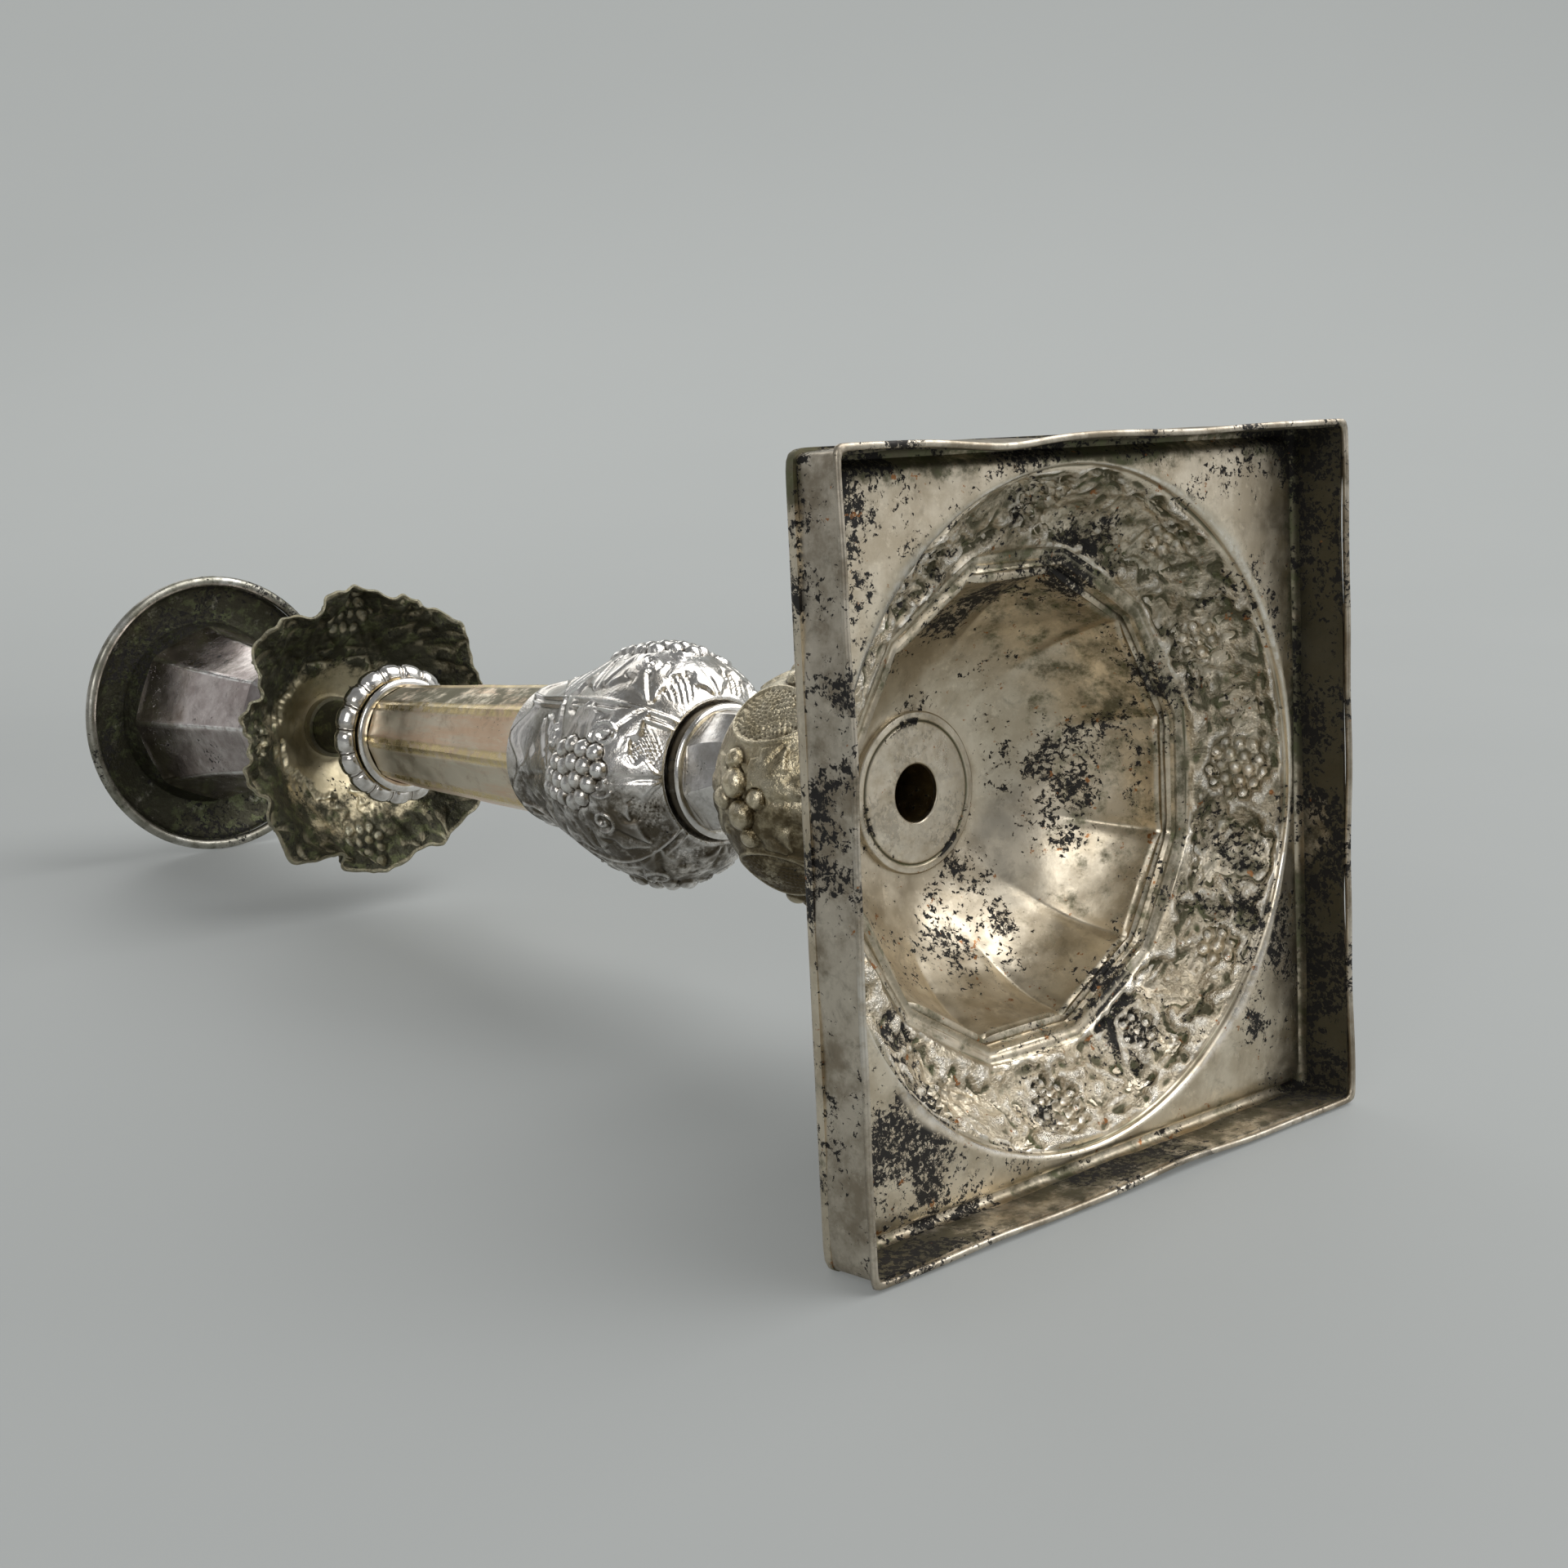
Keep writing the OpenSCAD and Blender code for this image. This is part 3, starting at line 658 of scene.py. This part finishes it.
def base_dome():
    """The dome: twelve panels at its foot that fade into a round shoulder below the disc."""
    columns = 480
    rows = 84
    turn = turns(columns)
    foot = low("base_dome")
    top = high("base_dome")
    mouth_r = 14.5 * MM
    shoulder_r = 17 * MM
    fullness = 2 / 1.6
    rise = foot + 1.6 * MM
    outline = even(
        [(DOME_FOOT_R + 2.2 * MM, foot), (DOME_FOOT_R, foot + 1.4 * MM)]
        + [(shoulder_r + (DOME_CORNER_R - shoulder_r) * math.cos(t) ** fullness,
            rise + (top - rise) * math.sin(t) ** fullness)
           for t in np.linspace(0, math.pi / 2, 60)]
        + [(mouth_r, top)], rows)
    along = arc_length(outline)[:, None]
    share = ramp(0.8 * along[-1, 0], 8, along)
    points = revolve(outline, columns, polygon(turn, DOME_SIDES, DOME_CORNER)[None, :] ** share)
    off_corner = beside(turn, DOME_CORNER, TURN / DOME_SIDES)[None, :] * outline[:, :1] / MM
    crease = line(off_corner, 2.6) * share
    lines = line(along - 2.2, 0.7) + line(along - 4.2, 0.6)
    relief = 0.5 * crease + 0.55 * lines
    relief += 0.22 * ripple(points, 25 * MM, 21) + 0.06 * ripple(points, 9 * MM, 22)
    soil_and_shade = 0.36 * crease * ramp(0.75 * along[-1, 0], 10, along)
    # painted shade: the upper part of the dome's +X, -Y side is soiled darker
    soil_and_shade = np.maximum(soil_and_shade, 0.5 * shaded_upper_right(points) * ramp(0.8 * along[-1, 0], 20, along))
    soil_and_shade = np.maximum(soil_and_shade, 0.42 * ramp(6.5, 4.5, along))
    piece("base_dome", embossed(points, relief), 0.6, "stand", "base_silver", faces(soil_and_shade))


def dome_disc():
    """The disc that closes the dome from inside; its face has a groove near the edge."""
    radius = reach("dome_disc")
    bottom = low("dome_disc")
    top = high("dome_disc")
    hole = 5.9 * MM
    groove = 0.3 * MM
    section = even([(hole, top), (hole, bottom + 0.2 * MM), (hole + 0.3 * MM, bottom),
                    (radius - 2.4 * MM, bottom), (radius - 2 * MM, bottom + groove),
                    (radius - 1.6 * MM, bottom), (radius - 0.3 * MM, bottom),
                    (radius, bottom + 0.3 * MM), (radius, top)], 96)[::-1]
    rings = revolve(section, 192)
    rings[..., 2] += 0.06 * MM * ripple(rings, 9 * MM, 31)
    from_edge = (radius - section[:, :1]) / MM
    # painted shadow: the groove near the edge is worn low, so it shows dark
    wear = 0.8 - 0.75 * line(from_edge - 2, 0.8) * (section[:, 1:] < bottom + 0.5 * MM) * np.ones(192)
    piece("dome_disc", rings, wear, "stand", "base_silver")


# -------------------- the stem


def neck_ring():
    """The flared ring of overlapping leaf tips on the dome."""
    columns = 384
    turn = turns(columns)
    bottom = low("neck_ring")
    top = high("neck_ring")
    tall = top - bottom
    edge = reach("neck_ring")
    waist = 14.9 * MM
    outline = even([(waist + 1.9 * MM, bottom), (waist + 1.9 * MM, bottom + 0.7 * MM),
                    (waist, bottom + 0.4 * tall), (waist + 0.6 * MM, bottom + 0.6 * tall),
                    (waist + 4 * MM, bottom + 0.78 * tall), (edge, bottom + 0.88 * tall),
                    (edge, top - 0.2 * MM), (edge - 1 * MM, top)], 48)
    tips = abs(np.sin(turn * 8))[None, :]
    out = ramp(waist + 2 * MM, edge, outline[:, :1])
    points = revolve(outline, columns, 1 - 0.07 * out * (1 - tips ** 0.7))
    relief = -0.5 * out * line((1 - tips) * 6, 1.0)
    wear = bored(np.clip(0.4 + 0.5 * out * tips, 0, 1))
    piece("neck_ring", solid(points, relief, 13.6 * MM), wear, "stand", "gilded_silver")


def knop():
    """The bulb: four groups of berries on leaves, with beaten panels between them."""
    columns = 480
    rows = 130
    turn = turns(columns)
    centre = middle("knop")
    half = half_height("knop")
    widest = reach("knop") - 0.3 * MM
    ends = (15.9 * MM, 11.5 * MM)
    outline = even([(math.sqrt(widest ** 2 - (widest ** 2 - ends[int(u > 0)] ** 2) * u * u),
                     centre + u * half) for u in np.linspace(-1, 1, 90)], rows)
    along = arc_length(outline)[:, None]
    length = along[-1, 0]
    radius = outline[:, :1] / MM
    points = revolve(outline, columns)
    berry_y = 0.47 * length
    panel_y = 0.42 * length
    relief = np.zeros((rows, columns))
    ground = np.zeros((rows, columns))
    for part in range(4):
        x = beside(turn, part * TURN / 4)[None, :] * radius
        berries = [size * 0.8 * berry(x, along, x0, berry_y + y0, size) for x0, y0, size in (
            (-3.2, -0.8, 3.3), (3.2, 0.8, 3.3), (-0.2, 5.2, 2.5), (0.2, -5.0, 2.3),
            (8.0, 1.8, 2.3), (-8.0, -1.6, 2.3))]
        leaves = [tall * vine_leaf(x, along, x0, berry_y + y0, size, tilt) for tall, x0, y0, size, tilt in (
            (0.9, 0, -3, 17, math.pi), (0.8, 3, -2, 13, 2.2), (0.8, -3, -2, 13, -2.2), (0.7, 0, 4, 13, 0))]
        relief = laid_over(np.maximum.reduce([relief, *leaves]), np.maximum.reduce(berries))
        x = beside(turn, (part + 0.5) * TURN / 4)[None, :] * radius
        panel = np.hypot(x / (0.30 * radius), (along - panel_y) / 10)
        relief = np.maximum(relief, 0.6 * line((panel - 1) * 7, 0.9))
        stalk = line(abs(x) - 0.5 * radius * ramp(0, 0.55 * length, along), 0.9)
        relief = np.maximum(relief, 0.5 * stalk * ramp(panel_y, panel_y - 9, along))
        ground = np.maximum(ground, ramp(0.97, 0.88, panel))
    relief *= ramp(0.5, 3, along) * ramp(0.5, 3, length - along) * (1 - ground)
    relief += ground * beaten(points)
    relief += 0.4 * line(along - 1.2, 0.8) + 0.4 * line(length - 1.2 - along, 0.8)
    wear = bored(polish(relief, 0.56 - 0.1 * ground, 1.1))
    soil_and_shade = bored(0.35 * ramp(0.5 * length, 0.2 * length, along), 0)
    soil_and_shade = np.maximum(soil_and_shade, darkened_side(columns, 0.8))
    piece("knop", solid(points, relief, 9 * MM), wear, "stand", "gilded_silver", soil_and_shade, 0.3)


def collar():
    """The bell-shaped collar under the vase, with eight slanting panels."""
    columns = 288
    rows = 40
    turn = turns(columns)
    bottom = low("collar")
    tall = high("collar") - bottom
    outline = even([(11.3 * MM + 2.6 * MM * math.sin(math.pi / 2 * t), bottom + tall * t)
                    for t in np.linspace(0, 1, 24)], rows)
    slant = turn[None, :] + 0.25 * np.linspace(0, 1, rows)[:, None]
    points = revolve(outline, columns, polygon(slant, 8) ** 0.8)
    flat = np.zeros((rows, columns))
    piece("collar", solid(points, flat, 9 * MM), bored(flat + 0.62, 0.4), "stand", "bright_silver",
          darkened_side(columns, 0.3))


def round_rings(middle_r, middle_z, section, columns=288, steps=28, squash=1.0):
    """Rings round a circular section, outside first; squash scales its height."""
    bend = np.linspace(-math.pi, math.pi, steps, endpoint=False)
    height = middle_z + squash * section * np.sin(bend)
    return revolve(np.stack([middle_r + section * np.cos(bend), height], 1), columns)


def polished_bead(name, squash):
    section = 1.6 * half_height(name)
    rings = round_rings(reach(name) - section, middle(name), section, squash=squash)
    piece(name, rings, 0.9, "stand", "bright_silver")


def collar_bead():
    """The bead between collar and vase."""
    polished_bead("collar_bead", 0.62)


def vase():
    """The baluster: four bunches of grapes on broad leaves between long S-shaped ribs."""
    columns = 560
    rows = 176
    turn = turns(columns)
    bottom = low("vase")
    top = high("vase")
    belly = bottom + 17.2 * MM
    widest = 25.4 * MM
    foot_r = 14.2 * MM
    sleeve_r = 17.2 * MM
    lower = [(math.sqrt(widest ** 2 - (widest ** 2 - foot_r ** 2) * u * u), belly - u * (belly - bottom))
             for u in np.linspace(1, 0, 40)]
    upper = [(sleeve_r + (widest - sleeve_r) * (1 + math.cos(math.pi * s)) / 2, belly + (top - belly) * s)
             for s in np.linspace(0.02, 1, 60)]
    outline = even(lower + upper, rows)
    along = arc_length(outline)[:, None]
    length = along[-1, 0]
    radius = outline[:, :1] / MM
    points = revolve(outline, columns)
    bunch_y = 27
    mound = np.zeros((rows, columns))
    fine = np.zeros((rows, columns))
    ground = np.zeros((rows, columns))
    for part in range(4):
        x = beside(turn, part * TURN / 4)[None, :] * radius
        bunch = grapes(x, along, 1, bunch_y, (2, 3, 4, 4, 3, 2, 1), 3.9, 0.35)
        mound = np.maximum(mound, 0.9 * ramp(1.3, 0.3, np.hypot(x / 10, (along - bunch_y) / 13)))
        leaves = [1.1 * vine_leaf(x, along, x0, bunch_y + y0, size, tilt) for x0, y0, size, tilt in (
            (5, 2, 17, -0.9), (-5, 3, 17, 0.8), (4, -6, 17, -2.3), (-5, -5, 16, 2.4), (0, 10, 20, 0.1),
            (1, -9, 15, 3.1))]
        curls = [1.6 * curl(x, along, x0, bunch_y + y0, size, tilt, hand, 1.2)
                 for x0, y0, size, tilt, hand in ((9, -7, 3.4, -1.2, 1), (-2, -13, 3.0, 1.0, 1),
                                                  (11, 9, 2.6, 0.3, -1), (-11, -8, 2.8, 2.6, -1))]
        fine = np.maximum.reduce([fine, *leaves, *curls])
        fine = laid_over(fine, 2.2 * bunch)
        sway = 2.6 * np.sin(1.5 * math.pi * along / length)
        for side in (-1, 1):
            rib = line(abs(x - side * (TURN / 8 * radius - 1.1) + sway), 0.8)
            fine = np.maximum(fine, 0.75 * rib * ramp(0, 6, along))
        spot = np.hypot((abs(x) - 0.36 * radius) / 5, (along - 9) / 6)
        ground = np.maximum(ground, ramp(1.0, 0.7, spot) * ramp(0.2, 0.05, fine))
    tips = 2.2 * (1 + np.cos(8 * turn))[None, :]
    end = ramp(tips, tips + 1.4, length - along)
    relief = (mound + fine) * ramp(1.0, 5.0, along) * end + ground * beaten(points)
    relief += 0.55 * end * ramp(tips + 4.5, tips + 2.0, length - along)
    groove = ramp(2.6, 1.2, along)
    relief -= 1.5 * groove
    wear = bored(polish(relief, 0.6, 1.2, 16))
    # painted shadow: the groove by the bead is soiled black
    soil_and_shade = bored(np.maximum(groove, darkened_side(columns, 0.75)), 1)
    piece("vase", solid(points, relief, 11 * MM), wear, "stand", "bright_silver", soil_and_shade, 0.12)


SHAFT_SIDES = 8


def shaft():
    """The eight-sided tapered shaft, its plate rubbed through to brass along the corners."""
    columns = 320
    rows = 60
    top_r = 13.5 * MM
    outline = even([(reach("shaft"), low("shaft")), (top_r, high("shaft"))], rows)
    panel = polygon(turns(columns), SHAFT_SIDES)
    points = revolve(outline, columns, panel)
    corner = ramp(0.93, 0.97, panel)[None, :] * np.ones((rows, 1))
    relief = -0.3 * corner ** 6 + 0.12 * ripple(points, 20 * MM, 41)
    # painted shade: the top facets, on the -Y side, are darkened to dull the reflection of the overhead light
    piece("shaft", solid(points, relief, 10.5 * MM), bored(corner, 0.4), "stand", "worn_silver",
          darkened_side(columns, 0.75, -1.9, 0.8))


def shaft_bead():
    """The bead under the gadroon ring."""
    polished_bead("shaft_bead", 0.6)


def gadroon_ring():
    """Seventeen pillows round the shaft's head, parted by double lines."""
    count = 17
    columns = count * 32
    steps = 48
    section = 3.3 * MM
    middle_r = reach("gadroon_ring") - section
    place = (turns(columns) * count / TURN) % 1 - 0.5
    width = TURN * (middle_r + section) / count / MM
    pillow = np.sqrt(np.clip(1 - (abs(place) / 0.42) ** 3, 0, 1))
    parting = line(abs(abs(place) - 0.5) * width - 0.3, 0.4)
    rings = round_rings(middle_r, middle("gadroon_ring"), section * 0.86, columns, steps)
    bend = np.linspace(-math.pi, math.pi, steps, endpoint=False)[:, None]
    outside = ramp(-0.6, 0.2, np.cos(bend))
    relief = outside * (0.14 * section / MM * pillow - 0.5 * (1 - pillow) + 0.5 * parting)
    rings = rings + normals(rings) * (relief * MM)[..., None]
    wear = np.clip(0.9 * pillow + 0.5 * parting, 0, 1)
    piece("gadroon_ring", rings, wear, "stand", "bright_silver")


def neck_spool():
    """The waisted neck that the drip pan sits on, soiled black all over: its patina, and painted shade under
    the pan.
    """
    bottom = low("neck_spool")
    top = high("neck_spool")
    shoulder = bottom + 6.4 * MM
    neck = [(6.6 * MM + 2.4 * MM * abs(2 * s - 1) ** 3 * (1.4 - s), shoulder + (top - shoulder) * s)
            for s in np.linspace(0, 1, 40)]
    outline = even([(reach("neck_spool"), bottom), (reach("neck_spool"), shoulder - 0.4 * MM)] + neck, 64)
    points = revolve(outline, 192)
    uneven = 0.1 * ripple(points, 8 * MM, 51)
    wear = bored(np.full(uneven.shape, 0.5), 0.2)
    piece("neck_spool", solid(points, uneven, 4.7 * MM), wear, "stand", "black_patina", 1.4)


# -------------------- the loose parts


def drip_pan():
    """The drooping pan of vine leaves, with a torn-looking edge and four bunches of grapes."""
    columns = 640
    rows = 78
    turn = turns(columns)
    top = high("drip_pan")
    drop = top - low("drip_pan")
    edge_r = 38.4 * MM
    hole = 5.1 * MM
    flat_r = 9 * MM
    outline = even([(r, top - drop * (max(r - flat_r, 0) / (edge_r + 2 * MM - flat_r)) ** 1.32)
                    for r in np.linspace(edge_r, hole, 80)], rows)
    radius = outline[:, :1]
    out = ramp(18 * MM, edge_r, radius)
    random = np.random.default_rng(8)
    notches = line((turn * 8 / TURN) % 1 - 0.5, 0.1)
    edge = 0.022 * np.cos(8 * turn) - 0.015 * np.cos(4 * turn) - 0.025 * notches
    for waves in (11, 17, 25, 36, 53):
        edge = edge + 0.17 / waves * np.sin(waves * turn + random.uniform(0, TURN)) * random.uniform(0.6, 1.2)
    points = revolve(outline, columns, 1 + out * edge[None, :])
    bend = sum(random.uniform(0.5, 1.0) * np.sin(waves * turn + random.uniform(0, TURN))
               for waves in (5, 8, 13, 19))
    points[..., 2] += 0.6 * MM * out ** 2 * bend[None, :]
    along = (edge_r - radius) / MM
    pattern = np.zeros((rows, columns))
    for part in range(4):
        x = beside(turn, part * TURN / 4)[None, :] * radius / MM
        bunch = 1.6 * grapes(x, along, 0, 7, (2, 3, 4, 3), 3.1)
        motifs = [0.7 * curl(x, along, 6, 13, 2.2, 0.4),
                  0.7 * curl(x, along, -14, 6, 2.0, 2.4, -1)]
        motifs += [vine_leaf(x, along, x0, y0, size, tilt) for x0, y0, size, tilt in (
            (9, 15, 15, 3.5), (-9, 15, 15, 2.8), (21, 16, 16, 3.2), (-21, 15, 15, 3.0), (15, 8, 9, 2.2))]
        pattern = laid_over(np.maximum.reduce([pattern, *motifs]), bunch)
    crumple = out * (1.1 * ripple(points, 15 * MM, 61) + 0.45 * ripple(points, 5 * MM, 62))
    rolled = 0.4 * line((radius - hole) / MM - 1, 1.0)
    relief = pattern + crumple + rolled
    rim = ramp(1.3, 0.2, along) * np.ones(columns)
    front = np.maximum(polish(pattern, 0.55), 0.9 * rim)
    back = np.maximum(polish(pattern + 0.5 * crumple, 0.55), 0.9 * rim)
    soil_and_shade = ramp(12 * MM, 31 * MM, radius) * (1.1 + 0.25 * ripple(points, 20 * MM, 63))
    # painted shade: the pan's -Y side is soiled darker outside its middle
    soil_and_shade = np.clip(soil_and_shade + 0.6 * ramp(0, -24 * MM, points[..., 1]) * ramp(8 * MM, 20 * MM, radius), 0, 1.2)
    rings = embossed(points, relief, 0.7 * MM, back=1.3 * soften(pattern, 1) + crumple + rolled)
    piece("drip_pan", rings, faces(front, back), "drip_pan", "black_patina", faces(soil_and_shade), faces(out))


def cup_piece(name, outline, rows):
    """A panelled part of the cup, its plate rubbed along the corners."""
    columns = 320
    panel = polygon(turns(columns), SHAFT_SIDES)
    outline = even(outline, rows)
    to_mouth = high("cup_body") - outline[:, 1:]
    points = revolve(outline, columns, panel[None, :] ** ramp(-4 * MM, 2 * MM, to_mouth))
    corner = ramp(0.975, 0.995, panel)[None, :] * np.ones((rows, 1))
    relief = -0.25 * corner ** 4 + 0.1 * ripple(points, 16 * MM, 71)
    wear = np.clip(0.5 + 0.5 * corner, 0, 1)
    wear[to_mouth[:, 0] < 0.6 * MM] = 0.9
    piece(name, embossed(points, relief), np.concatenate([wear, wear]), "candle_cup", "cup_silver")


def candle_cup():
    """The panelled cup: a sloping bottom and a wall that flares to the mouth."""
    floor = low("cup_bottom")
    bend = low("cup_body")
    tall = high("cup_body") - bend
    low_r = reach("cup_bottom")
    flare = reach("cup_body") - low_r
    cup_piece("cup_body", [(low_r + flare * s ** 1.5, bend + tall * s) for s in np.linspace(0, 1, 50)], 60)
    cup_piece("cup_bottom", [(8.6 * MM, floor), (low_r, bend)], 24)


def cup_foot():
    """The rounded ring that the cup stands on."""
    centre = middle("cup_foot")
    half = half_height("cup_foot")
    radius = reach("cup_foot")
    outline = even([(radius - 1.2 * MM * u * u, centre + half * u) for u in np.linspace(-1, 1, 20)], 24)
    flat = np.zeros((24, 192))
    piece("cup_foot", solid(revolve(outline, 192), flat, 4.7 * MM), bored(flat + 0.6, 0.2), "candle_cup",
          "cup_silver")


def nozzle_brim():
    """The nozzle's wide brim: a flat seat, a steep step and a crown that falls to the rim."""
    seat_z = low("nozzle_brim")
    crown = seat_z + 5.6 * MM
    outer = reach("brim_rim") - 2.6 * MM
    rim_z = middle("brim_rim") + 0.8 * MM
    inner = 26.4 * MM
    outline = even(
        [(inner + (outer - inner) * math.sin(t), rim_z + (crown - rim_z) * math.cos(t))
         for t in np.linspace(math.pi / 2, 0, 24)]
        + [(25.8 * MM, crown - 1.2 * MM), (23.6 * MM, seat_z + 0.1 * MM),
           (12.05 * MM, seat_z + 0.1 * MM)], 70)
    columns = 288
    points = revolve(outline, columns) + np.array([0, 0, 0.7 * MM])
    relief = 0.1 * ripple(points, 15 * MM, 81)
    # painted shadow: the inner face's black is patina, made darker still next to the cup, where shade falls
    cup_shadow = ramp(28 * MM, 26 * MM, outline[:, :1])
    soil_and_shade = faces(np.full(cup_shadow.shape, 0.35), 0.95 + 0.6 * cup_shadow)
    piece("nozzle_brim", embossed(points, relief, 0.7 * MM), 0.45, "nozzle", "nozzle_silver", soil_and_shade, 0.3)


def brim_rim():
    """The rolled rim, rubbed here and there."""
    section = half_height("brim_rim")
    rings = round_rings(reach("brim_rim") - section, middle("brim_rim"), section)
    wear = 0.66 + 0.3 * ripple(rings, 18 * MM, 83)
    piece("brim_rim", rings, wear, "nozzle", "nozzle_silver", 0.4)


# -------------------- the stage

CAMERA_PLACE = Vector((-0.3131, -0.0698, -0.2565))
CAMERA_FORWARD = Vector((0.6577, 0.1494, 0.7384)).normalized()
CAMERA_RIGHT = Vector((0.7409, 0.0491, -0.6698)).normalized()
LENS_MM = 51.13


def camera():
    """The camera near the floor, looking past the base's underside along the stem."""
    lens = bpy.data.cameras.new("camera")
    lens.lens = LENS_MM
    lens.sensor_width = 36
    up = CAMERA_RIGHT.cross(CAMERA_FORWARD)
    turn = Matrix((CAMERA_RIGHT, up, -CAMERA_FORWARD)).transposed()
    thing = placed("camera", lens)
    thing.matrix_world = Matrix.Translation(CAMERA_PLACE) @ turn.to_4x4()
    bpy.context.scene.camera = thing


def resting_plane():
    """A point of the floor and its upward normal: it touches the base's edge and the rim."""
    base = Vector((0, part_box("base_plate")[1].y, low("base_plate")))
    rim = Vector((0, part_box("brim_rim")[1].y, middle("brim_rim")))
    slope = (rim - base).normalized()
    return base, Vector((0, -slope.z, slope.y))


FLOOR_GLOW = 0.3
SWEEP_GLOW = 0.43
SHEET_GREY = (0.415, 0.43, 0.42)


def floor_paint():
    """Matt pale paper, seen from its upper side only, so that views from behind aren't blocked.
    Its glow, which grows where the sheet sweeps up, keeps it one even grey."""
    paint = Paint("seamless_sheet")
    paper = paint.blend(paint.noise(160, 4, 0.6), (0.235, 0.245, 0.24), (0.255, 0.262, 0.257))
    paint.feed(paint.shader.inputs["Base Color"], paper)
    paint.shader.inputs["Roughness"].default_value = 0.6
    paint.shader.inputs["Emission Color"].default_value = (*SHEET_GREY, 1)
    paint.feed(paint.shader.inputs["Emission Strength"], paint.attribute("glow"))
    clear = paint.node("ShaderNodeBsdfTransparent")
    side = paint.node("ShaderNodeMixShader")
    paint.feed(side.inputs[0], paint.node("ShaderNodeNewGeometry").outputs["Backfacing"])
    paint.feed(side.inputs[1], paint.shader.outputs[0])
    paint.feed(side.inputs[2], clear.outputs[0])
    paint.feed(paint.tree.nodes["Material Output"].inputs["Surface"], side.outputs[0])
    return paint.material


def seamless_sheet(origin, up):
    """One sheet that lies flat under the candlestick and sweeps up behind it. Past the rim it falls
    away a little, so that a lifted nozzle stays clear of it."""
    away = (CAMERA_FORWARD - CAMERA_FORWARD.dot(up) * up).normalized()
    across = away.cross(up)
    near, far, sweep, tall, wide = 1.2, 0.8, 1.7, 2.6, 3.0
    profile = [(a, 0) for a in np.linspace(-near, far, 51)]
    profile += [(far + sweep * math.sin(b), sweep * (1 - math.cos(b)))
                for b in np.linspace(0.02, math.pi / 2, 70)]
    profile.append((far + sweep, tall))
    back, height = np.array(profile).T[:, :, None, None]
    side = np.linspace(-wide, wide, 151)[None, :, None]
    grid = np.array(origin) + back * np.array(away) + height * np.array(up) + side * np.array(across)
    grid -= 0.1 * np.maximum(grid[..., 2:] - high("brim_rim"), 0) * np.array(up)
    rows, columns, _ = grid.shape
    quads = [(i * columns + j, i * columns + j + 1, (i + 1) * columns + j + 1, (i + 1) * columns + j)
             for i in range(rows - 1) for j in range(columns - 1)]
    mesh = bpy.data.meshes.new("seamless_sheet")
    mesh.from_pydata(grid.reshape(-1, 3).tolist(), [], quads)
    mesh.polygons.foreach_set("use_smooth", np.ones(len(quads), bool))
    glow = FLOOR_GLOW + SWEEP_GLOW * ramp(0.15, far + 0.6 * sweep, back) * np.ones((rows, columns, 1))
    label_points(mesh, "glow", glow)
    mesh.materials.append(floor_paint())
    sheet = placed("seamless_sheet", mesh)
    return away, across


def soft_light(name, place, target, size, power):
    light = bpy.data.lights.new(name, "AREA")
    light.shape = "RECTANGLE"
    light.size, light.size_y = size
    light.energy = power
    thing = placed(name, light)
    thing.location = place
    thing.rotation_euler = (target - place).to_track_quat("-Z", "Y").to_euler()


def lighting(origin, up, away, across):
    """A broad softbox overhead, four dimmer ones round the candlestick, and a dim even room."""
    target = origin + Vector((0, 0, 0.12))
    for name, right, above, beyond, size, power in (
            ("overhead", 0.75, 1.1, 0.15, (1.3, 1.2), 16),
            ("side", 1.5, 0.4, -0.1, (1.8, 1.2), 3.5),
            ("beyond", -0.6, 1.0, 1.1, (0.9, 0.7), 2.5),
            ("front", -0.3, 0.8, -1.3, (0.8, 0.8), 5.5),
            ("left", -1.5, 0.5, 0.35, (1.1, 1.0), 1.0)):
        place = target + across * right + up * above + away * beyond
        soft_light(name, place, target, size, power)
    world = bpy.data.worlds.new("room")
    world.use_nodes = True
    world.node_tree.nodes["Background"].inputs["Color"].default_value = (0.40, 0.41, 0.42, 1)
    world.node_tree.nodes["Background"].inputs["Strength"].default_value = 0.55
    bpy.context.scene.world = world


# -------------------- putting it together

for build in (base_plate, base_skirt, base_edge_strip, base_dome, dome_disc, neck_ring, knop, collar,
              collar_bead, vase, shaft, shaft_bead, gadroon_ring, neck_spool, drip_pan, candle_cup, cup_foot,
              nozzle_brim, brim_rim):
    build()

slots = {part["node"]: part["material_slot"] for part in frame["record"]["subparts"]}
for node, thing in frame["nodes"].items():
    thing.data.materials.clear()
    thing.data.materials.append(PAINTS[slots[node]])

camera()
plane_point, plane_up = resting_plane()
plane_away, plane_across = seamless_sheet(plane_point, plane_up)
lighting(plane_point, plane_up, plane_away, plane_across)
bpy.context.scene.view_settings.view_transform = "Standard"
